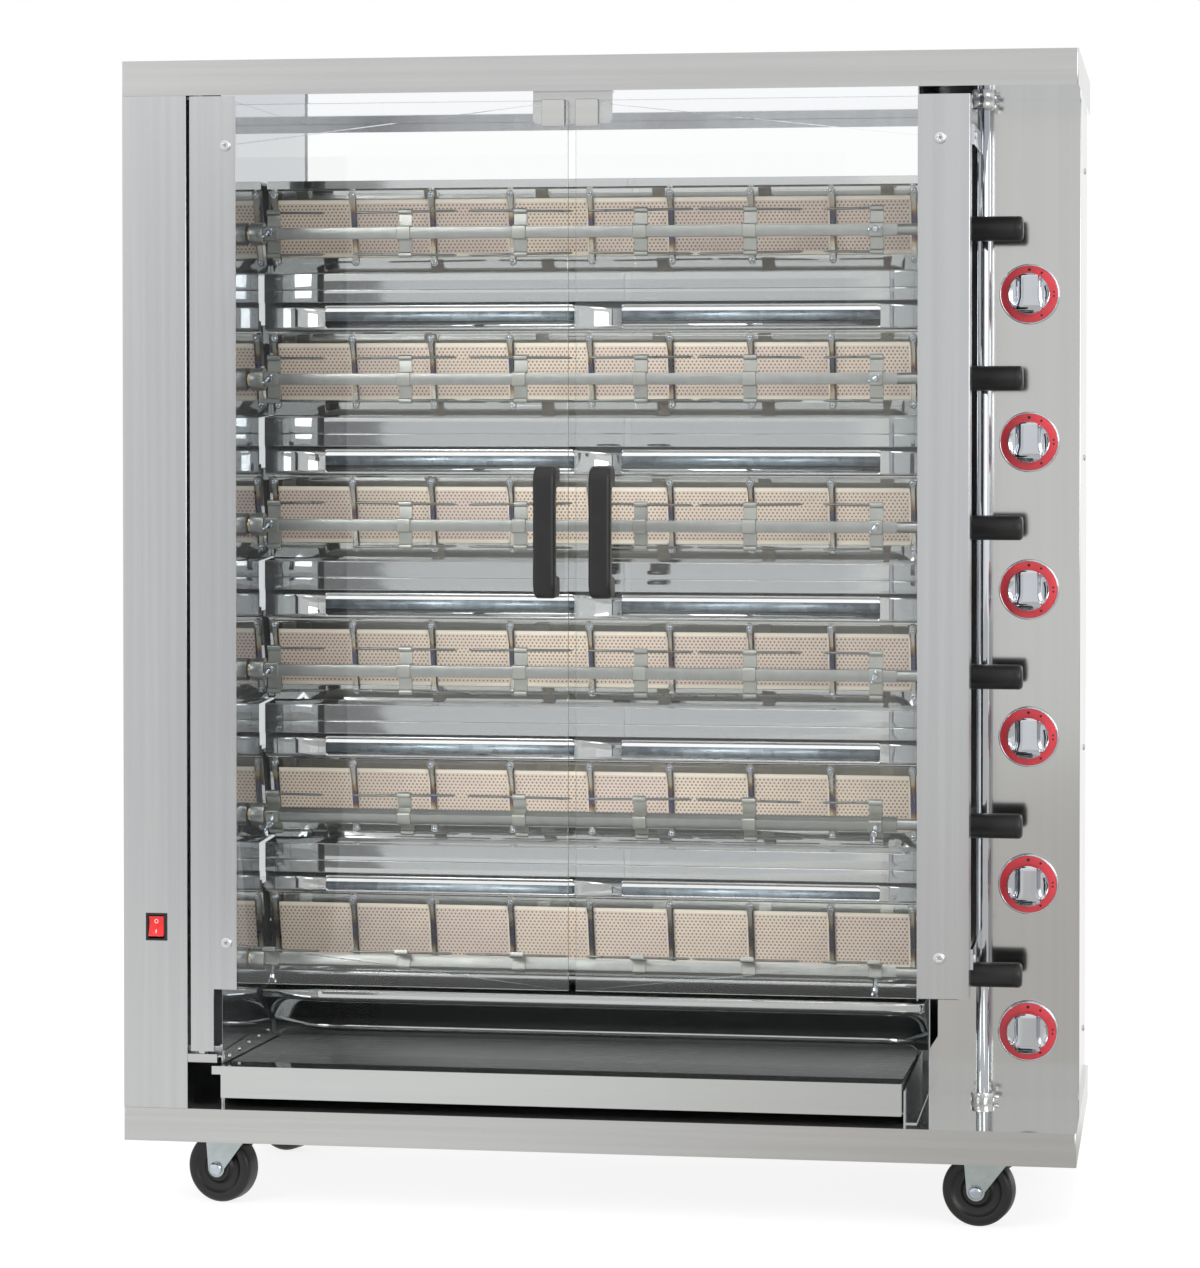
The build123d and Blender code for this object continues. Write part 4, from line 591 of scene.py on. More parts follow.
satin = sheetSteel("satin_steel_upright", colour(210, 211, 212), 0.2, "z")
satinLevel = sheetSteel("satin_steel_level", colour(209, 209, 208), 0.18, "x")
# The stiles' rear faces get a dark grey steel: painted shade, so that the polished steel mirrors them dark.
paintedShadeSteel = sheetSteel("satin_steel_inner_face_painted_shade", colour(98, 99, 101), 0.4, "z")
# The drip tray's floor gets a dark copy of the polished steel: painted shade at the bottom of the cavity.
trayFloorPaintedShade = sheetSteel("bright_steel_tray_floor_painted_shade", colour(104, 104, 104), 0.25, "x", 0.01, 0.00003)
panelSteel = sheetSteel("satin_steel_panel", colour(208, 208, 206), 0.1, "z", 0.012, 0.00005,
                        scratch=0.0000002)
mirror = {"streak": 0.012, "waveScale": 4.0, "spread": 0.015, "marks": 0.015, "scratch": 0.0}
wallMirror = {**mirror, "streak": 0.01, "spread": 0.01}
polished = sheetSteel("bright_steel_polished", colour(208, 210, 209), 0.035, "x", wave=0.00007, metal=0.93,
                      **mirror)
# The ceiling's steel is brighter and bluer than the other polished steel: a painted bluish reflection.
polishedCeilingPaintedReflection = sheetSteel("bright_steel_ceiling_painted_reflection", colour(236, 240, 247), 0.035, "x", wave=0.00005,
                             **mirror)
polishedBurner = sheetSteel("bright_steel_burner", colour(226, 227, 225), 0.04, "x", wave=0.00005, **mirror)
polishedWall = sheetSteel("bright_steel_wall", colour(202, 205, 208), 0.03, "z", wave=0.00005, metal=0.93,
                          **wallMirror)
zinc = plainMetal("plated_steel_zinc", colour(196, 206, 206), 0.3)
bareSteel = plainMetal("chain_steel_bare", colour(130, 128, 124), 0.4)
spitSteel = plainMetal("bright_steel_spit", colour(172, 174, 170), 0.36, 0.12, 90.0, 0.00002, 0.9)
forkSteel = plainMetal("bright_steel_fork", colour(186, 187, 180), 0.32, 0.1, 70.0, 0.00001, 0.92)
prongSteel = plainMetal("bright_steel_prong", colour(128, 129, 124), 0.3, 0.1, 70.0, 0.00001, 0.9)
domeScrew = plainMetal("plated_steel_dome", colour(226, 227, 228), 0.38, 0.06, 60.0, 0.000002, 0.95)
brightScrew = plainMetal("plated_steel_screw", colour(205, 214, 224), 0.16, 0.06, 60.0, 0.000002, 0.9)
chrome = plainMetal("knob_chrome", colour(214, 217, 222), 0.05, 0.03, 30.0, 0.000001, 0.96)
brass = plainMetal("gas_brass", colour(205, 172, 108), 0.3)
galvanisedPlate = galvanised("plated_steel_galvanised")
tile = ceramic("burner_ceramic")
tinted = tintedSteel("bright_steel_tinted")
enamel = plastic("motor_paint", colour(62, 66, 70), 0.4, 0.3)
blackPlastic = plastic("black_plastic", colour(24, 23, 23), 0.36, 0.0, 0.000008)
handlePlastic = plastic("black_plastic_matt", colour(22, 21, 21), 0.4, 0.0, 0.000014)
redPlastic = plastic("red_plastic", colour(205, 24, 22), 0.18, 0.5, 0.000001)
whiteInk = plastic("red_plastic_mark", colour(240, 236, 232), 0.4)
redRing = plastic("knob_chrome_red_scale", colour(203, 48, 60), 0.32, 0.3, 0.000002)
darkInk = plastic("knob_chrome_scale_mark", colour(46, 20, 28), 0.5)
rubber = plastic("caster_rubber", colour(22, 21, 21), 0.4, 0.0, 0.00001, 900.0)
glass = glassMaterial("door_glass")
glassEdge = plastic("door_glass_edge", colour(96, 128, 118), 0.2, 0.6)
print("materials made:", len(bpy.data.materials))


# ---- CAD nodes that keep their shape

def dress(name, material, bevel=0.4, extra=()):
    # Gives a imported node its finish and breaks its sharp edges. extra holds (material, test) pairs; a test
    # takes the middles and the normals of all faces and says which of them get that material.
    piece = nodes[name]
    mesh = piece.data
    mesh.materials.clear()
    mesh.materials.append(material)
    count = len(mesh.polygons)
    centre, normal = np.empty(count * 3), np.empty(count * 3)
    mesh.polygons.foreach_get("center", centre)
    mesh.polygons.foreach_get("normal", normal)
    index = np.zeros(count, np.int32)
    for other, test in extra:
        mesh.materials.append(other)
        index[test(centre.reshape(-1, 3), normal.reshape(-1, 3))] = len(mesh.materials) - 1
    mesh.polygons.foreach_set("material_index", index)
    if bevel:
        weld = piece.modifiers.new("weld", "WELD")
        weld.merge_threshold = 1e-6
        edge = piece.modifiers.new("edge", "BEVEL")
        edge.width = bevel * mm
        edge.segments = 2
        edge.limit_method = "ANGLE"
        edge.angle_limit = math.radians(40)
        edge.harden_normals = True
    return piece


def near(values, target, reach=0.0006):
    return np.abs(values - target) < reach


def nearAxis(centre, axes, reach):
    # True where a face lies within reach of one of the axes (y, z) that run along X.
    away = [np.hypot(centre[:, 1] - y, centre[:, 2] - z) for y, z in axes]
    return np.min(away, axis=0) < reach


spitAxes = [(spitY, z) for z in spitZ]
dress("base_tray", satinLevel, 0.6, [(polished, lambda c, n: near(c[:, 2], deckZ) & (n[:, 2] > 0.9))])
# The cap's downward ceiling faces take the brighter, bluer steel with the painted reflection.
dress("top_cap", satinLevel, 0.6,
      [(polishedCeilingPaintedReflection, lambda c, n: near(c[:, 2], ceilingZ) & (n[:, 2] < -0.9))])
dress("drive_housing", satin, 0.5)
bush = {"reach": 15.5, "wall": 1.5}
dress("left_cavity_wall", polishedWall, 0.3,
      [(brass, lambda c, n: nearAxis(c, spitAxes, bush["reach"] * mm) & ~near(c[:, 0], wallLeft)
        & ~near(c[:, 0], wallLeft - bush["wall"] * mm))])
dress("right_cavity_wall", polishedWall, 0.3)
dress("control_housing", panelSteel, 0.5)
dress("rear_panel", satin, 0.3)
dress("burner_housings", polishedBurner, 0.4)
dress("gas_train", zinc, 0.4)
dress("gear_motor", enamel, 0.6)
dress("drive_chain", bareSteel, 0.2)
dress("tray_rails", polished, 0.3)
dress("switch_frame", blackPlastic, 0.2)
dress("frame_brackets", satinLevel, 0.3)
# The drip tray's floor takes the dark steel with the painted shade.
dress("drip_tray", polished, 0.3,
      [(trayFloorPaintedShade, lambda c, n: (n[:, 2] > 0.9) & (c[:, 2] < lowest("drip_tray", 2) + 5 * mm))])
for n in rows:
    dress(f"spit_socket_{n}", spitSteel, 0.3)
for side in ("left", "right"):
    dress(f"{side}_door_glass", glass, 0.5, [(glassEdge, lambda c, n: np.abs(n[:, 1]) < 0.3)])
    # Each stile's rear face takes the dark grey steel with the painted shade.
    dress(f"{side}_door_stile", satin, 0.4, [(paintedShadeSteel, lambda c, n: n[:, 1] > 0.9)])
dress("right_door_tube", chrome, 0.3)
for corner in corners:
    dress(f"caster_fork_{corner}", zinc, 0.6)
print("packed nodes dressed")


# ---- burners: tiles, clamps and baffles

burner = {"setback": 265.0, "tilt": 15.3, "rise": (10.0, 10.0, 10.0, 10.0, 15.0, 25.0), "firstClamp": 11.0,
          "pitch": 100.6, "count": 8, "faceDown": 54.6}
burnerY = frontY + burner["setback"] * mm
burnerZ = [z + rise * mm for z, rise in zip(spitZ, burner["rise"])]
clampX = [wallLeft + (burner["firstClamp"] + i * burner["pitch"]) * mm for i in range(burner["count"] + 1)]
tileX = [x + burner["pitch"] * mm / 2 for x in clampX[:-1]]


def onFace(s, x, z, along=0.0, out=0.0):
    # From a drawing seen face on to a place on a burner's leaning face.
    return moved(s, shift(0, along, out), toFront, turn("x", burner["tilt"]), shift(x, burnerY, z))


tiles = {"width": 94.6, "height": 74.0, "thick": 12.0, "recess": 1.0, "corner": 2.6, "edge": 0.7}
plaque = prism(rounded(rectangle(tiles["width"] * mm, tiles["height"] * mm), tiles["corner"] * mm, 3),
               tiles["thick"] * mm, tiles["edge"] * mm)
every = [numbered(onFace(plaque, x, z, 0, -(tiles["thick"] + tiles["recess"]) * mm), 8 * i + j + 1)
         for i, z in enumerate(burnerZ) for j, x in enumerate(tileX)]
build("burner_tiles", joined(*every), [tile], "cabinet", ["ceramic_tiles"])

clamp = {"neck": 5.5, "tab": 10.0, "screw": 43.4, "beyond": 5.0, "straight": 37.0, "thick": 1.2,
         "edge": 0.35, "head": 3.6, "headHeight": 2.6}
half, tab, end = clamp["neck"] / 2 * mm, clamp["tab"] / 2 * mm, (clamp["screw"] + clamp["beyond"]) * mm
flare, straight = clamp["screw"] * mm, clamp["straight"] * mm
outline = rounded([(half, -straight), (half, straight), (tab, flare), (tab, end), (-tab, end), (-tab, flare),
                   (-half, straight), (-half, -straight), (-tab, -flare), (-tab, -end), (tab, -end),
                   (tab, -flare)],
                  [4 * mm, 4 * mm, 1 * mm, tab * 0.98, tab * 0.98, 1 * mm] * 2, 4)
strip = prism(outline, clamp["thick"] * mm, clamp["edge"] * mm, 2)
screw = panHead(clamp["head"] * mm, clamp["headHeight"] * mm, 16, 1)
every = []
for i, z in enumerate(burnerZ):
    for j, x in enumerate(clampX):
        number = 9 * i + j + 1
        every.append(numbered(onFace(strip, x, z), number))
        for k, along in enumerate((-flare, flare)):
            spun = moved(screw, turn("z", (number * 47 + k * 31) % 90))
            every.append(onFace(spun, x, z, along, clamp["thick"] * mm))
build("burner_clamps", joined(*every), [tinted, brightScrew], "cabinet", ["tile_clamps"])

baffle = {"sheet": 1.2, "bend": 0.25, "endGap": 4.0, "hem": 18.0, "faceLow": 14.94,
          "folds": ((-33.0, 58.0), (-33.0, 76.6), (-32.2, 77.2), (-32.2, 78.2), (-33.0, 78.8), (-33.0, 92.5),
                    (-30.0, 94.0)), "toeRise": 52.0, "browStrip": (50.5, 64.0), "browLead": 19.2,
          "lowFolds": ((15.0, 69.0), (-48.0, 71.0), (-48.0, 79.0), (14.0, 113.0), (23.0, 137.0)),
          "slots": ((81.3, 397.3), (456.8, 777.5)), "slotDrop": 100.8, "slotCorner": 3.0,
          "slotRim": 3.0, "damperDrops": (105.0, 116.8), "damperOverlap": 6.0, "damperPlay": 0.05}


def openPath(points, radius, steps=5):
    # A path with arcs at its folds and its two ends kept.
    radii = np.full(len(points), radius)
    radii[0] = radii[-1] = 0.0
    path = rounded(points, radii, steps)
    return path[steps - 1:len(path) - steps + 1]


def refine(path, height):
    # Adds to a path the point where it last passes the given height; returns the path and that point's row.
    over = np.nonzero((path[:-1, 1] - height) * (path[1:, 1] - height) < 0)[0][-1]
    share = (path[over, 1] - height) / (path[over, 1] - path[over + 1, 1])
    return np.insert(path, over + 1, path[over] + share * (path[over + 1] - path[over]), axis=0), over + 1


def foldedSheet(path, columns, slots=(), slotHeights=(), corner=0.0):
    # A folded path of (depth, height) carried across in columns. The cells of a slot are left out, and its
    # corners are eased: a point that is so deep in the corner slides by radius - sqrt(radius^2 - depth^2).
    edgeRows = []
    for height in slotHeights:
        path, row = refine(path, height)
        edgeRows.append(row)
    grid = np.empty((len(path), len(columns), 3))
    grid[..., 0] = columns[None]
    grid[..., 1] = path[:, :1]
    grid[..., 2] = path[:, 1:]
    made = shell(grid, closedV=False, capped=False)
    if not slots:
        return made
    points = made["points"]
    pointRow = np.repeat(np.arange(len(path)), len(columns))
    faceRow = np.repeat(np.arange(len(path) - 1), len(columns) - 1)
    faceX = np.tile((columns[:-1] + columns[1:]) / 2, len(path) - 1)
    run = path[edgeRows[1]] - path[edgeRows[0]]
    run /= np.linalg.norm(run)
    keep = np.ones(len(faceX), bool)
    for left, right in slots:
        keep &= ~((faceX > left) & (faceX < right) & (faceRow >= edgeRows[0]) & (faceRow < edgeRows[1]))
        deep = np.clip(corner - np.minimum(points[:, 0] - left, right - points[:, 0]), 0, corner)
        ease = corner - np.sqrt(corner ** 2 - deep ** 2)
        within = (points[:, 0] > left - 1e-9) & (points[:, 0] < right + 1e-9)
        for row, sign in zip(edgeRows, (1, -1)):
            points[:, 1:] += (ease * (within & (pointRow == row)))[:, None] * sign * run
    made["faces"] = [face for face, kept in zip(made["faces"], keep) if kept]
    made["slots"] = made["slots"][keep]
    return made


def step(place, z):
    return (burnerY + place[0] * mm, z - place[1] * mm)


x0, x1 = wallLeft + baffle["endGap"] * mm, wallRight - baffle["endGap"] * mm
cut = baffle["slotCorner"] * mm
slots = [(wallLeft + a * mm, wallLeft + b * mm) for a, b in baffle["slots"]]
ease = cut * (1 - np.cos(np.linspace(0, math.pi / 2, 5)))
columns = [np.concatenate([a + ease, b - ease]) for a, b in slots]
columns = np.unique(np.concatenate([[x0, x1]] + columns).round(7))
sheets, plates = [], []
for i, z in enumerate(burnerZ):
    top = z - (burner["faceDown"] + baffle["sheet"]) * mm
    start = [(burnerY + (baffle["faceLow"] + baffle["hem"]) * mm, top),
             (burnerY + baffle["faceLow"] * mm, top)]
    if i == len(burnerZ) - 1:
        path = openPath(start + [step(fold, z) for fold in baffle["lowFolds"]], baffle["bend"] * mm)
        sheets.append(foldedSheet(path, columns))
        continue
    folds = [step(fold, z) for fold in baffle["folds"]]
    toe = (folds[-1][0], burnerZ[i + 1] + baffle["toeRise"] * mm)
    path = openPath(start + folds + [toe], baffle["bend"] * mm)
    heights = (z - baffle["slotDrop"] * mm, toe[1] + baffle["slotRim"] * mm)
    sheets.append(foldedSheet(path, columns, slots, heights, cut))
    browY = burnerY - baffle["browLead"] * mm
    strip = [(browY, burnerZ[i + 1] + rise * mm) for rise in baffle["browStrip"][::-1]]
    sheets.append(foldedSheet(np.array(strip), np.array([x0, x1])))
    depth = toe[0] + (baffle["sheet"] + baffle["damperPlay"]) * mm
    bend = np.array([(depth, z - drop * mm) for drop in baffle["damperDrops"]])
    for a, b in slots:
        ends = np.array([a - baffle["damperOverlap"] * mm, b + baffle["damperOverlap"] * mm])
        plates.append(foldedSheet(bend, ends))
thick = ("SOLIDIFY", {"thickness": baffle["sheet"] * mm, "offset": -1.0, "use_even_offset": True})
build("baffles", joined(*sheets), [polished], "cabinet", ["baffle_shelves"], [thick])
build("damper_plates", joined(*plates), [galvanisedPlate], "cabinet", ["baffle_shelves"],
      [thick])
print("burners made")


# ---- spits

spit = {"size": 14.0, "edge": 1.0, "start": 5.0, "barEnd": 34.0, "journal": 7.0, "collarStart": 6.0,
        "collarLength": 6.0, "collarRadius": 11.0, "handleStart": 54.0, "handleLength": 63.0,
        "handleRadius": 15.0, "handleRound": 5.0, "handleBore": 44.0,
        "turns": (0.0, 0.0, 0.0, 0.0, 25.0, 70.0)}
forks = {"centres": (195.4, 339.6, 488.9, 623.4), "first": 29.0, "last": 777.5, "width": 16.4,
         "height": 60.0, "strap": 2.0, "arm": 3.0, "prong": 1.6, "point": 4.8, "tip": 0.5, "proud": 0.5,
         "reach": 52.0, "spread": 26.5, "screw": 3.0, "screwLength": 16.0}
prongY = (spit["size"] / 2 + forks["proud"] - forks["prong"]) * mm


def forkBody():
    # A plate behind the bar, a strap bent round its front, and a rolled eye at either end for the prongs.
    wide = forks["width"] * mm
    waist = (spit["size"] / 2 + forks["strap"]) * mm
    inner = spit["size"] / 2 * mm
    back, tall = waist - forks["arm"] * mm, forks["height"] / 2 * mm
    plate = prism(rounded([(back, -tall), (waist, -tall), (waist, tall), (back, tall)], 0.6 * mm, 3),
                  wide, 0.4 * mm, 2)
    foot = waist - 0.4 * mm
    strap = prism(rounded([(foot, -waist), (foot, -inner), (-inner, -inner), (-inner, inner), (foot, inner),
                           (foot, waist), (-waist, waist), (-waist, -waist)],
                          [0, 0, 0.8 * mm, 0.8 * mm, 0, 0, 2.6 * mm, 2.6 * mm], 4), wide, 0.4 * mm, 2)
    parts = [plate, strap]
    eye = (forks["prong"] + forks["strap"]) * mm
    for sign in (1, -1):
        roll = prism(ring(eye, 18), wide, 0.4 * mm, 2)
        parts.append(moved(roll, shift(prongY, sign * forks["spread"] * mm, 0)))
    return moved(joined(*parts), alongX, shift(-wide / 2))


def prong(left, right):
    # A rod along X whose ends taper to blunt points; left and right say how far it reaches, 0 for no point.
    r, tip, point = forks["prong"] * mm, forks["tip"] * mm, forks["point"] * mm
    pointed = [(0, 0), (tip * 0.7, tip * 0.15), (tip, tip * 0.7), (r, point)]
    blunt = [(0, 0), (r * 0.8, 0), (r, r * 0.2)]
    long = forks["reach"] * mm
    start = np.array(pointed if left > long else blunt)
    stop = np.array(pointed if right > long else blunt)
    leftEnd = -left - (point if left > long else 0)
    rightEnd = right + (point if right > long else 0)
    profile = np.concatenate([np.column_stack([start[:, 0], leftEnd + start[:, 1]]),
                              np.column_stack([stop[::-1, 0], rightEnd - stop[::-1, 1]])])
    return moved(turned(profile, 12), alongX)


def wingScrew(tilt):
    # Threaded shank from the bar to the front, with two rounded wings.
    r, long = forks["screw"] * mm, forks["screwLength"] * mm
    turnsUp = np.linspace(0, long, 33)
    ridge = r - 0.35 * mm * (np.arange(33) % 2)
    shank = turned(np.concatenate([[(0, 0)], np.column_stack([ridge, turnsUp]), [(0, long)]]), 16, 1)
    hub = turned([(0, 0), (3.6 * mm, 0), (4.2 * mm, 0.5 * mm), (4.0 * mm, 4.5 * mm), (3.4 * mm, 5.2 * mm),
                  (0, 5.4 * mm)], 20, 1)
    hub = moved(hub, shift(0, 0, long - 3 * mm))
    wings = rounded([(-2.5, 0), (2.5, 0), (9, 3.4), (9, 8.9), (5.6, 8.9), (3.0, 3.9), (-3.0, 3.9),
                     (-5.6, 8.9), (-9, 8.9), (-9, 3.4)],
                    [0.5, 0.5, 3, 2.2, 1.5, 1.6, 1.6, 1.5, 2.2, 3], 5) * mm
    blade = moved(prism(wings, 2.5 * mm, 0.8 * mm, 3, 1), shift(0, 0, -1.25 * mm), toFront,
                  shift(0, 0, long))
    return moved(joined(shank, hub, blade), turn("z", tilt), toFront, shift(0, -spit["size"] / 2 * mm, 0))


def makeSpit(row):
    z = spitZ[row]
    xBar0 = wallLeft + spit["start"] * mm
    xBar1 = wallRight - spit["barEnd"] * mm
    size = spit["size"] * mm
    square = rounded(rectangle(size, size), spit["edge"] * mm, 3)
    bar = moved(prism(square, xBar1 - xBar0, 0.6 * mm, 2), alongX, shift(xBar0))
    long = (spit["barEnd"] + spit["handleStart"] + spit["handleBore"]) * mm
    r = spit["journal"] * mm
    rod = moved(turned([(0, -1 * mm), (r * 0.999, -1 * mm), (r, long), (0, long)], 32), alongX, shift(xBar1))
    cr, cl = spit["collarRadius"] * mm, spit["collarLength"] * mm
    ease = 0.6 * mm
    collar = turned([(0, 0), (cr - ease, 0), (cr, ease), (cr, cl - ease), (cr - ease, cl), (0, cl)], 32)
    collar = moved(collar, alongX, shift(wallRight + spit["collarStart"] * mm))
    parts = [bar, rod, collar]
    stub, reach = forks["width"] / 2 * mm, (forks["reach"] + forks["width"] / 2) * mm
    places = [(forks["first"], stub, reach)] + [(c, reach, reach) for c in forks["centres"]]
    places.append((forks["last"], reach, stub))
    for k, (centre, left, right) in enumerate(places):
        at = shift(wallLeft + centre * mm)
        parts.append(painted(moved(forkBody(), at), 1))
        for sign in (1, -1):
            lean = 0.9 * math.sin(3.1 * k + 1.7 * row + sign)
            rod = moved(prong(left, right), turn("y", lean), shift(0, prongY, sign * forks["spread"] * mm),
                        at)
            parts.append(painted(rod, 2))
        if k in (0, 5):
            parts.append(painted(moved(wingScrew(42 if k == 0 else 10 + 20 * row), at), 3))
    whole = moved(joined(*parts), turn("x", spit["turns"][row]), shift(0, spitY, z))
    name = f"spit_{row + 1}"
    build(f"{name}_bar_and_forks", whole, [spitSteel, forkSteel, prongSteel, brightScrew], name, [name])
    h1, radius, end = spit["handleLength"] * mm, spit["handleRadius"] * mm, spit["handleRound"] * mm
    arc = np.linspace(0, math.pi / 2, 7)
    tail = np.column_stack([radius - end + end * np.cos(arc), h1 - end + end * np.sin(arc)])
    sunk = radius - 0.25 * mm
    groove = [(radius, h1 - 10.2 * mm), (sunk, h1 - 10.0 * mm), (sunk, h1 - 9.4 * mm),
              (radius, h1 - 9.2 * mm)]
    foot = [(0, 0), (radius - 1.4 * mm, 0), (radius - 0.2 * mm, 0.4 * mm), (radius, 1.4 * mm)]
    profile = np.concatenate([foot, groove, tail, [(0, h1)]])
    grip = moved(turned(profile, 48), alongX, shift(wallRight + spit["handleStart"] * mm, spitY, z))
    build(f"{name}_grip", grip, [blackPlastic], name, [f"spit_handle_{row + 1}"], crease=50)


for row in range(len(spitZ)):
    makeSpit(row)
print("spits made")


# ---- knobs

knob = {"rim": 36.7, "gap": 2.0, "skirt": 8.0, "ringOuter": 34.8, "hub": 25.0, "top": 27.0, "rib": 11.0,
        "flare": 7.2, "stem": 4.0, "stemLength": 37.5}


def knobHub():
    # Over a disc: for each height z across it, columns at the disc's edge, on the floor of the scoops and on
    # the rib's top. The rib's half width grows with the square of the way down to its lower end, and its top
    # falls towards both ends.
    r, top = knob["hub"], knob["top"]
    z = r * np.sin(np.linspace(-math.pi / 2, math.pi / 2, 41))
    edge = np.sqrt(np.maximum(r * r - z * z, 0))
    down = np.clip(-(z + 0.15 * r) / (0.85 * r), 0, 1)
    rib = knob["rib"] + knob["flare"] * down ** 1.5
    across = [0.0, 0.35, 0.7, 1.0]
    wall = [(1.0, 0.6), (1.02, 1.4), (1.05, 4.0), (1.12, 9.0), (1.25, 12.8), (1.45, 14.6)]
    columnX = [rib * a for a in across[:-1]] + [rib * w for w, _ in wall]
    columnDrop = [np.full_like(z, 0.0) for _ in across[:-1]] + [np.full_like(z, d) for _, d in wall]
    columnX += [np.maximum(edge * 0.97, rib * 1.5), edge + rib * 0]
    columnDrop += [np.full_like(z, 14.2), np.full_like(z, 13.6)]
    x = np.stack(columnX, -1)
    drop = np.stack(columnDrop, -1)
    ends = np.clip((np.abs(z) - 0.8 * r) / (0.2 * r), 0, 1)[:, None]
    bevel = np.clip((-z - 0.62 * r) / (0.38 * r), 0, 1)[:, None] * 7.5
    height = top - np.maximum(drop, 0) - ends ** 2 * 2.2 - bevel * (drop < 10)
    outside = x >= edge[:, None]
    x = np.minimum(x, edge[:, None])
    height = np.where(outside & (drop > 12), np.minimum(height, top - 13.6), height)
    skirt = np.stack([edge, edge], -1)
    x = np.concatenate([x, skirt], -1)
    height = np.concatenate([height, np.full((len(z), 1), 9.0), np.full((len(z), 1), 0.0)], -1)
    x = np.concatenate([-x[:, ::-1], x[:, 1:]], -1)
    height = np.concatenate([height[:, ::-1], height[:, 1:]], -1)
    grid = np.stack([x, np.broadcast_to(z[:, None], x.shape), height], -1) * mm
    return shell(grid, closedV=True, capped=False)


def makeKnob(n):
    outer, skirt, ringOuter = knob["rim"], knob["skirt"], knob["ringOuter"]
    rim = turned(np.array([(0, 0), (outer - 0.6, 0), (outer, 0.6), (outer, skirt - 1.4),
                           (outer - 0.3, skirt - 0.6), (outer - 0.9, skirt - 0.1), (outer - 1.4, skirt),
                           (ringOuter, skirt - 0.2),
                           (ringOuter - 0.3, skirt - 1.0), (0, skirt - 1.0)]) * mm, 72)
    scale = turned(np.array([(0, skirt - 1.2), (ringOuter - 0.35, skirt - 1.2),
                             (ringOuter - 0.35, skirt - 0.4), (ringOuter - 0.8, skirt - 0.25),
                             (knob["hub"] + 0.6, skirt - 0.25), (0, skirt - 0.25)]) * mm, 72, 1)
    parts = [rim, scale]
    radius = (ringOuter + knob["hub"]) / 2 * mm
    for clock, size in ((0.0, 1.9), (30.0, 1.5), (85.0, 1.2), (94.5, 1.2), (150.0, 1.5)):
        dot = turned(np.array([(0, 0), (size, 0), (size, 0.25), (size * 0.8, 0.32), (0, 0.32)]) * mm, 16, 2)
        angle = math.radians(90 - clock)
        parts.append(moved(dot, shift(radius * math.cos(angle), radius * math.sin(angle),
                                      (skirt - 0.35) * mm)))
    parts.append(moved(knobHub(), shift(0, 0, (skirt - 1.0) * mm)))
    r, long = knob["stem"], knob["stemLength"]
    outline = np.array([(0, 0), (r - 0.3, 0), (r, 0.3), (r, long - 0.3), (r - 0.3, long), (0, long)]) * mm
    stem = turned(outline, 24, 3)
    parts.append(moved(stem, shift(0, 0, (knob["skirt"] - 2 - long + 8) * mm)))
    name = f"knob_{n}"
    back = highest(name, 1)
    whole = moved(joined(*parts), toFront, shift(knobX, panelY - knob["gap"] * mm, knobZ[n - 1]))
    over = whole["points"][:, 1] > back
    whole["points"][over, 1] = back
    build(f"{name}_dial", whole, [chrome, redRing, darkInk, spitSteel], name, [name],
          crease=40)


for n in rows:
    makeKnob(n)
print("knobs made")


# ---- switch rocker

rocker = {"width": 18.6, "half": 12.0, "dip": 1.0, "heel": 6.0, "taper": 2.0, "swing": 7.0, "front": 6.0,
          "pivot": 4.0, "pin": 1.5, "pinReach": 10.1}


def makeRocker():
    # Side view as an arc between its two raised ends, carried across, then tipped as the solid is.
    front, dip, halfHigh = rocker["front"], rocker["dip"], rocker["half"]
    t = np.linspace(-1, 1, 13)
    face = np.column_stack([-front + dip - 2 * dip * t ** 2, halfHigh * t])
    low = halfHigh - rocker["taper"]
    shy = rocker["heel"] - rocker["taper"]
    back = [(shy, low), (rocker["heel"], 0), (shy, -low)]
    outline = np.concatenate([face, back])[::-1] * mm
    body = moved(prism(outline, rocker["width"] * mm, 0.7 * mm, 3), alongX, shift(-rocker["width"] / 2 * mm))
    pin, long = rocker["pin"], 2 * rocker["pinReach"]
    pins = moved(turned(np.array([(0, 0), (pin, 0), (pin, long), (0, long)]) * mm, 16),
                 alongX, shift(-rocker["pinReach"] * mm))
    angle = np.arange(28) * 2 * math.pi / 28
    loop = np.stack([1.9 * np.cos(angle), 2.3 * np.sin(angle)], -1)
    tube = ring(0.34, 8)
    inward = np.stack([np.cos(angle), np.sin(angle)], -1)
    grid = np.empty((28, 8, 3))
    grid[..., :2] = loop[:, None] + inward[:, None] * tube[None, :, :1]
    grid[..., 2] = tube[None, :, 1] * 0.6
    circle = moved(shell(grid * mm, closedU=True, slot=1), toFront,
                   shift(0, (-front + dip - 2 * dip * 0.25 - 0.02) * mm, 6.0 * mm))
    bar = moved(prism(rounded(rectangle(0.75, 4.4), 0.3, 3) * mm, 0.4 * mm, 0.1 * mm, 2, 1), toFront,
                shift(0, (-front + dip - 2 * dip * 0.25 + 0.2) * mm, -6.0 * mm))
    lean = math.degrees(math.atan2(2 * dip, halfHigh))
    marks = [moved(circle, shift(0, front * mm, -6 * mm), turn("x", lean), shift(0, -front * mm, 6 * mm)),
             moved(bar, shift(0, front * mm, 6 * mm), turn("x", -lean), shift(0, -front * mm, -6 * mm))]
    whole = moved(joined(body, pins, *marks), turn("x", -rocker["swing"]),
                  shift(middle("switch_rocker", 0), frontY + rocker["pivot"] * mm,
                        middle("switch_frame", 2)))
    build("rocker_key", whole, [redPlastic, whiteInk], "rocker", ["switch_rocker"])


makeRocker()


# ---- doors

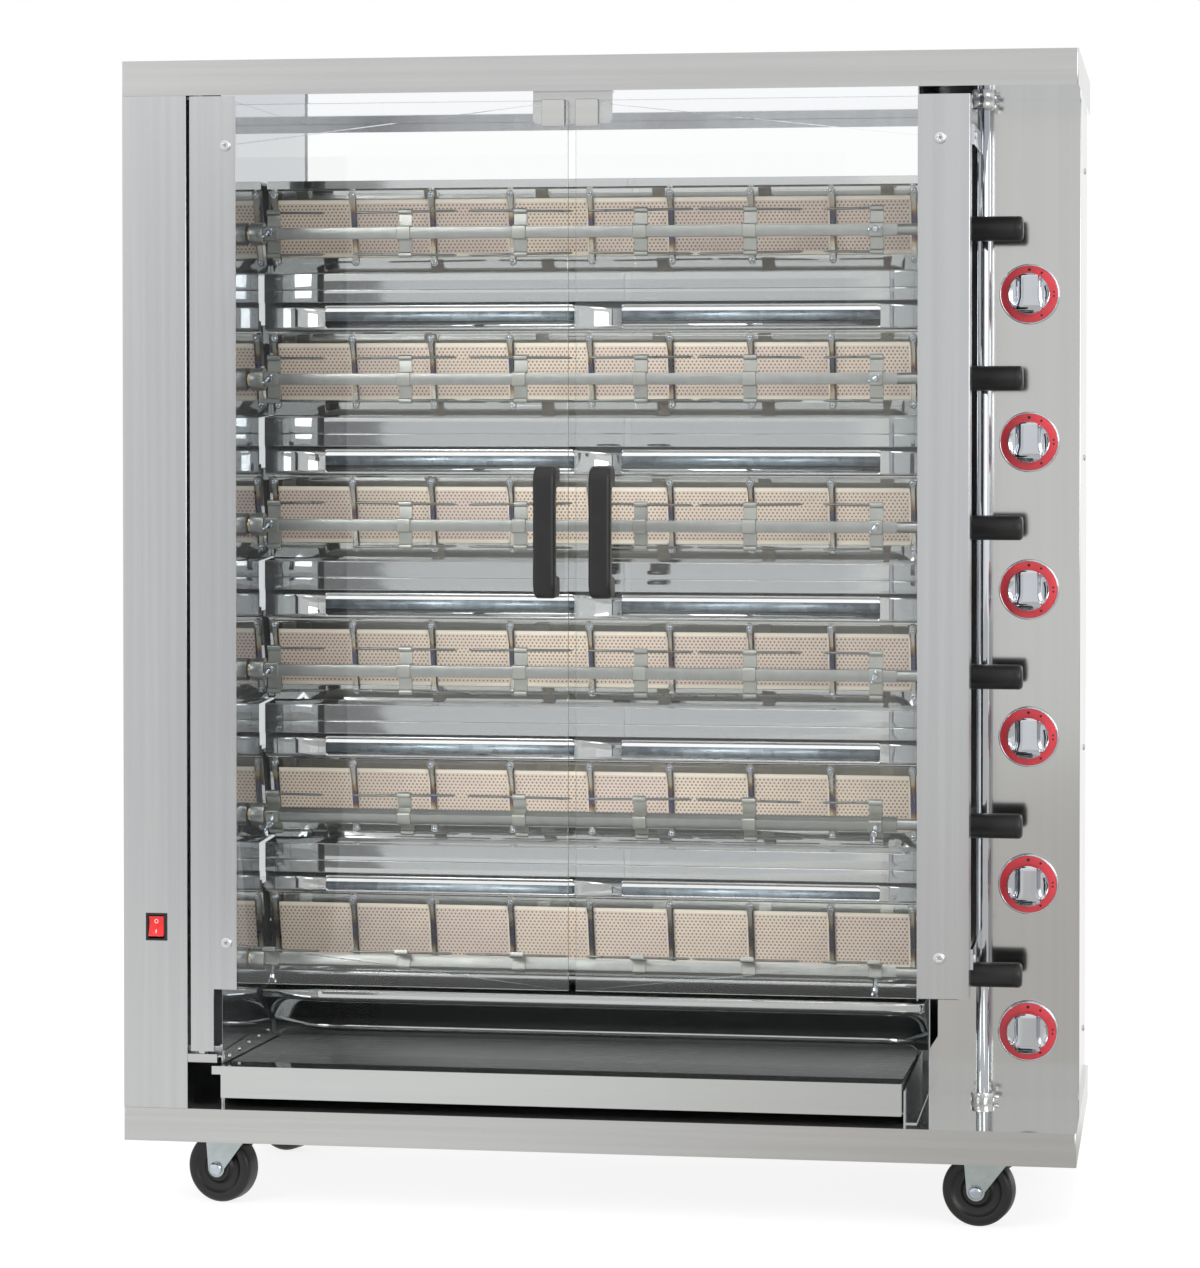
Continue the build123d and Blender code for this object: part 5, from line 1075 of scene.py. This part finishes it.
handle = {"width": 26.0, "grip": 19.0, "foot": 26.0, "crown": 17.5, "inner": 8.0, "edge": 5.0}
fitting = {"head": 7.0, "headHeight": 4.0, "nut": 6.0, "nutHeight": 5.0, "stand": 1.0, "bolt": 3.0,
           "cap": 5.0, "capHeight": 2.5, "clipWide": 27.0, "clipHigh": 32.0, "clipSheet": 1.5,
           "screwRises": (200.5, 1156.0), "boltRises": (13, 143), "stileInsets": (44, 26),
           "clipInsets": (18, 13)}
glassFront = lowest("left_door_glass", 1)
glassBack = highest("left_door_glass", 1)
glassTop = highest("left_door_glass", 2)


def bowHandle(name, body):
    # An outer and an inner line of the bow are rounded alike and matched point by point. Between them stands
    # a section with round edges, as deep as the two lines are apart.
    x = middle(name, 0)
    yf, yg, z0, z1 = lowest(name, 1), highest(name, 1), lowest(name, 2), highest(name, 2)
    foot, grip = handle["foot"] * mm, handle["grip"] * mm
    outer = openPath([(yg, z0), (yf, z0), (yf, z1), (yg, z1)], handle["crown"] * mm, 12)
    inner = openPath([(yg, z0 + foot), (yf + grip, z0 + foot), (yf + grip, z1 - foot), (yg, z1 - foot)],
                     handle["inner"] * mm, 12)
    extra = np.linspace(0, 1, 9)[1:-1, None]
    outer = np.concatenate([outer[:13], outer[12] + extra * (outer[13] - outer[12]), outer[13:]])
    inner = np.concatenate([inner[:13], inner[12] + extra * (inner[13] - inner[12]), inner[13:]])
    centre, span = (outer + inner) / 2, outer - inner
    deep = np.linalg.norm(span, axis=1, keepdims=True)
    out = span / deep
    r = handle["edge"] * mm
    arc = np.linspace(0, math.pi / 2, 6)
    angle = np.concatenate([arc + k * math.pi / 2 for k in range(4)])
    quarters = np.repeat([0.25, 0.75, 1.25, 1.75], len(arc)) * math.pi
    signX, signT = np.sign(np.cos(quarters)), np.sign(np.sin(quarters))
    alongWide = signX * (handle["width"] / 2 * mm - r) + r * np.cos(angle)
    alongDeep = signT[None] * (deep / 2 - r) + r * np.sin(angle)[None]
    grid = np.empty((len(centre), len(angle), 3))
    grid[..., 0] = x + alongWide[None]
    grid[..., 1] = centre[:, :1] + out[:, :1] * alongDeep
    grid[..., 2] = centre[:, 1:] + out[:, 1:] * alongDeep
    made = shell(grid)
    build(name + "_bow", made, [handlePlastic], body, [name], crease=60)


def hexNut(radius, height):
    return prism(ring(radius, 6), height)


def doorFittings(side, body, screwX, gripX, clipX, extra=()):
    parts = []
    stileFront = lowest(f"{side}_door_stile", 1)
    for z in screwZ:
        head = panHead(fitting["head"] * mm, fitting["headHeight"] * mm, 32, 0, 0.34, 0.6)
        parts.append(moved(head, turn("z", 20 if z > 0.8 else 55), toFront, shift(screwX, stileFront, z)))
        long = glassBack + (fitting["nutHeight"] + fitting["stand"]) * mm - stileFront
        r, ease = fitting["bolt"] * mm, 0.5 * mm
        shank = turned([(0, 0), (r, 0), (r, long - ease), (r - ease, long), (0, long)], 20)
        parts.append(moved(shank, toFront, turn("z", 180), shift(screwX, stileFront, z)))
        nut = hexNut(fitting["nut"] * mm, fitting["nutHeight"] * mm)
        parts.append(moved(nut, toFront, turn("z", 180), shift(screwX, glassBack, z)))
    for z in boltZ:
        cap = turned(np.array([(0, 0), (fitting["cap"], 0), (fitting["cap"], 1.0), (4.2, 2.1),
                               (2.5, fitting["capHeight"]), (0, fitting["capHeight"])]) * mm, 24)
        parts.append(moved(cap, toFront, turn("z", 180), shift(gripX, glassBack, z)))
        shank = turned(np.array([(0, 0), (2.5, 0), (2.5, 19.0), (0, 19.0)]) * mm, 16)
        parts.append(moved(shank, toFront, shift(gripX, glassBack, z)))
    t = fitting["clipSheet"] * mm
    ahead, behind = glassFront - t / 2, glassBack + t / 2
    clipLow, clipTop = glassTop + t - fitting["clipHigh"] * mm, glassTop + t / 2
    path = openPath([(ahead, clipLow), (ahead, clipTop), (behind, clipTop), (behind, clipLow)], 0.9 * mm, 4)
    line = np.column_stack([np.full(len(path), clipX), path])
    section = rounded(rectangle(t, fitting["clipWide"] * mm), 0.45 * mm, 2)
    parts.append(painted(swept(line, section, (1, 0, 0)), 1))
    build(f"{side}_door_screws_and_clip", joined(*parts, *extra), [domeScrew, satinLevel], body,
          [f"{side}_door_fittings"])


screwZ = [deckZ + rise * mm for rise in fitting["screwRises"]]
handleLow = lowest("left_door_handle", 2)
boltZ = [handleLow + rise * mm for rise in fitting["boltRises"]]
leftMeet = highest("left_door_glass", 0)
rightMeet = lowest("right_door_glass", 0)
leftScrewX = lowest("left_door_stile", 0) + fitting["stileInsets"][0] * mm
rightScrewX = lowest("right_door_stile", 0) + fitting["stileInsets"][1] * mm
arm = {"setback": 40 - 10.5, "rises": (185.0, 1149.0), "half": 12}
armBolts = []
armX = highest("right_door_stile", 0)
armY = lowest("right_door_stile", 1) + arm["setback"] * mm
for rise in arm["rises"]:
    z = deckZ + (rise + arm["half"]) * mm
    shank = turned(np.array([(0, -2), (2.5, -2), (2.5, 4), (0, 4)]) * mm, 16)
    cap = turned(np.array([(0, 4), (5.0, 4), (5.0, 5.0), (4.2, 6.1), (2.5, 6.5), (0, 6.5)]) * mm, 24)
    foot = turned(np.array([(0, -4.5), (4.6, -4.5), (5.0, -4.2), (5.0, -2), (0, -2)]) * mm, 24)
    armBolts.append(moved(joined(shank, cap, foot), alongX, shift(armX, armY, z)))
for side in ("left", "right"):
    bowHandle(f"{side}_door_handle", f"{side}_door")
doorFittings("left", "left_door", leftScrewX, middle("left_door_handle", 0),
             leftMeet - fitting["clipInsets"][0] * mm)
doorFittings("right", "right_door", rightScrewX, middle("right_door_handle", 0),
             rightMeet + fitting["clipInsets"][1] * mm, armBolts)
print("doors made")


# ---- caster wheels

wheel = {"radius": 42.5, "width": 30.0, "edge": 7.0, "hub": 16.0, "hubStand": 1.0, "web": 4.0, "axle": 5.0,
         "axleBeyond": 4.5, "nut": 8.0, "nutHeight": 5.0,
         "turns": {"front_left": -15.0, "front_right": -10.0, "rear_left": -22.0, "rear_right": -6.0}}


def makeWheel(corner):
    # Half of the wheel's outline, mirrored: tread, round shoulder, dished side, hub.
    r, w = wheel["radius"], wheel["width"] / 2
    arc = np.linspace(0, math.pi / 2, 7)
    edge = wheel["edge"]
    shoulder = np.column_stack([r - edge + edge * np.cos(arc), w - edge + edge * np.sin(arc)])
    hub, web, stand = wheel["hub"], w - wheel["web"], w + wheel["hubStand"]
    side = np.array([(31.5, w), (30.6, w - 0.5), (29.5, w - 1.8), (25.0, web), (20.0, web), (17.0, w - 1.6),
                     (hub, stand - 0.5), (hub - 0.8, stand), (0, stand)])
    crown = np.array([(r, 0)])
    upper = np.concatenate([crown, shoulder, side])
    lower = upper[:0:-1] * (1, -1)
    tyre = turned(np.concatenate([lower, upper]) * mm, 72)
    reach = w + wheel["axleBeyond"]
    pin = wheel["axle"]
    axle = turned(np.array([(0, -reach), (pin, -reach), (pin, reach), (0, reach)]) * mm, 24, 1)
    parts = [tyre, axle]
    for sign in (1, -1):
        nut = turned(np.array([(0, 0), (wheel["nut"], 0), (wheel["nut"], 2.2), (6.8, 3.8), (4.5, 4.8),
                               (0, wheel["nutHeight"])]) * mm, 24, 1)
        flip = np.eye(4) if sign > 0 else turn("x", 180)
        parts.append(moved(nut, shift(0, 0, reach * mm), flip))
    name = f"caster_wheel_{corner}"
    whole = moved(joined(*parts), toFront, turn("z", wheel["turns"][corner]),
                  shift(*[middle(name, axis) for axis in range(3)]))
    build(f"wheel_{corner}_tyre", whole, [rubber, brightScrew], f"wheel_{corner}", [name],
          crease=30)


for corner in corners:
    makeWheel(corner)
print("casters made")


# ---- floor, backdrop and light

studio = {"floorSize": 14.0, "worldLight": 0.65, "floorTone": 0.94, "floorSeen": 0.3,
          "floorLeft": (0.88, 0.88, 0.875, 1.0), "floorRight": (0.6, 0.59, 0.57, 1.0)}


def stagePlane(name, points, material, seen=True):
    # A plane that isn't seen still shows in the mirrors, but takes and throws no other light.
    mesh = bpy.data.meshes.new(name)
    mesh.from_pydata(points, [], [(0, 1, 2, 3)])
    mesh.materials.append(material)
    plane = bpy.data.objects.new(name, mesh)
    bpy.context.scene.collection.objects.link(plane)
    plane.visible_camera = seen
    plane.visible_diffuse = seen
    plane.visible_shadow = seen


def makeWorld():
    world = bpy.data.worlds.new("studio")
    world.use_nodes = True
    tree = world.node_tree
    tree.nodes.clear()
    rays = add(tree, "LightPath").outputs
    sharp = maths(tree, "MAXIMUM", rays["Is Glossy Ray"], rays["Is Transmission Ray"])
    bright = maths(tree, "MAXIMUM", rays["Is Camera Ray"], sharp)
    strength = between(tree, bright, 0.0, 1.0, studio["worldLight"], 1.0, False)
    back = add(tree, "Background", {"Color": (1.0, 1.0, 1.0, 1.0), "Strength": strength})
    out = add(tree, "OutputWorld")
    tree.links.new(back.outputs[0], out.inputs[0])
    bpy.context.scene.world = world


def floorMaterial():
    # White to the camera, with a faint shadow. What the polished steel mirrors is a plain tone without
    # grain: lighter to the left, darker and warmer to the right, white behind the cabinet.
    material, tree, out = begin("studio_floor")
    rays = add(tree, "LightPath").outputs
    tone, faint = studio["floorTone"], studio["floorSeen"]
    bounce = add(tree, "BsdfDiffuse", {"Color": (tone, tone, tone, 1.0)})
    shadow = add(tree, "BsdfDiffuse", {"Color": (faint, faint, faint, 1.0)})
    lift = add(tree, "Emission", {"Color": (1.0, 1.0, 1.0, 1.0), "Strength": 1.0 - faint * 0.6})
    seen = add(tree, "AddShader", {0: shadow.outputs[0], 1: lift.outputs[0]})
    place = add(tree, "SeparateXYZ", {0: objectPlace(tree)}).outputs
    across = between(tree, place[0], -0.5, 0.55)
    mirrored = blended(tree, across, studio["floorLeft"], studio["floorRight"])
    mirrored = blended(tree, between(tree, place[1], 0.3, 0.6), mirrored, (1.0, 1.0, 1.0, 1.0))
    plain = add(tree, "Emission", {"Color": mirrored, "Strength": 1.0})
    first = add(tree, "MixShader", {0: rays["Is Camera Ray"], 1: bounce.outputs[0], 2: seen.outputs[0]})
    sharp = maths(tree, "MAXIMUM", rays["Is Glossy Ray"], rays["Is Transmission Ray"])
    both = add(tree, "MixShader", {0: sharp, 1: first.outputs[0], 2: plain.outputs[0]})
    tree.links.new(both.outputs[0], out.inputs["Surface"])
    return material


def cardMaterial(name, value):
    material, tree, out = begin(name)
    glow = add(tree, "Emission", {"Color": (value, value, value * 1.03, 1.0), "Strength": 1.0})
    tree.links.new(glow.outputs[0], out.inputs["Surface"])
    return material


def backdropMaterial(name):
    # The studio behind the camera, as the front panels mirror it: a little dimmer towards the right.
    material, tree, out = begin(name)
    across = add(tree, "SeparateXYZ", {0: objectPlace(tree)}).outputs[0]
    strength = between(tree, across, -2.2, 0.4, 1.0, 0.82, False)
    glow = add(tree, "Emission", {"Color": (1.0, 1.0, 1.0, 1.0), "Strength": strength})
    tree.links.new(glow.outputs[0], out.inputs["Surface"])
    return material


def lamp(name, place, target, size, power, sizeY=None, glossy=False):
    data = bpy.data.lights.new(name, "AREA")
    data.shape = "RECTANGLE"
    data.size, data.size_y = size, sizeY or size
    data.energy = power
    made = bpy.data.objects.new(name, data)
    made.location = place
    direction = Vector(target) - Vector(place)
    made.rotation_euler = direction.to_track_quat("-Z", "Y").to_euler()
    made.visible_glossy = glossy
    bpy.context.scene.collection.objects.link(made)


makeWorld()
s = studio["floorSize"] / 2
stagePlane("floor", [(-s, -s, 0), (s, -s, 0), (s, s, 0), (-s, s, 0)], floorMaterial())
# A dark and a grey card lie on the floor and stand up against the backdrop, for the polished steel to
# mirror. near, far and wall are the left and right ends of a card's near edge, far edge and upright part.
cardRise, cardNear, cardFar, cardTop = 0.004, -2.4, -5.99, 1.66
cards = {"dark": {"tone": 0.2, "near": (-0.958, -0.811), "far": (-1.9, -1.58), "wall": (-1.93, -1.58)},
         "grey": {"tone": 0.7, "near": (-0.811, -0.15), "far": (-1.58, -0.22), "wall": (-1.58, -0.22)}}
for name, card in cards.items():
    cardLook = cardMaterial(f"studio_{name}_card", card["tone"])
    (a, b), (c, d), (left, right) = card["near"], card["far"], card["wall"]
    lying = [(a, cardNear, cardRise), (b, cardNear, cardRise), (d, cardFar, cardRise),
             (c, cardFar, cardRise)]
    upright = [(left, cardFar, 0.0), (right, cardFar, 0.0), (right, cardFar, cardTop),
               (left, cardFar, cardTop)]
    stagePlane(f"card_{name}_floor", lying, cardLook, False)
    stagePlane(f"card_{name}_wall", upright, cardLook, False)
stagePlane("card_room", [(-3.4, -6.0, -0.4), (3.4, -6.0, -0.4), (3.4, -6.0, 4.2), (-3.4, -6.0, 4.2)],
           backdropMaterial("studio_backdrop"), False)
lamp("key", (-2.6, -4.2, 3.4), (0, 0, 0.7), 2.4, 120)
lamp("fill", (3.4, -4.0, 2.2), (0, 0, 0.7), 2.6, 78, glossy=True)
lamp("top", (0.3, -0.6, 4.2), (0, 0, 0.6), 2.6, 85)
print("studio made")
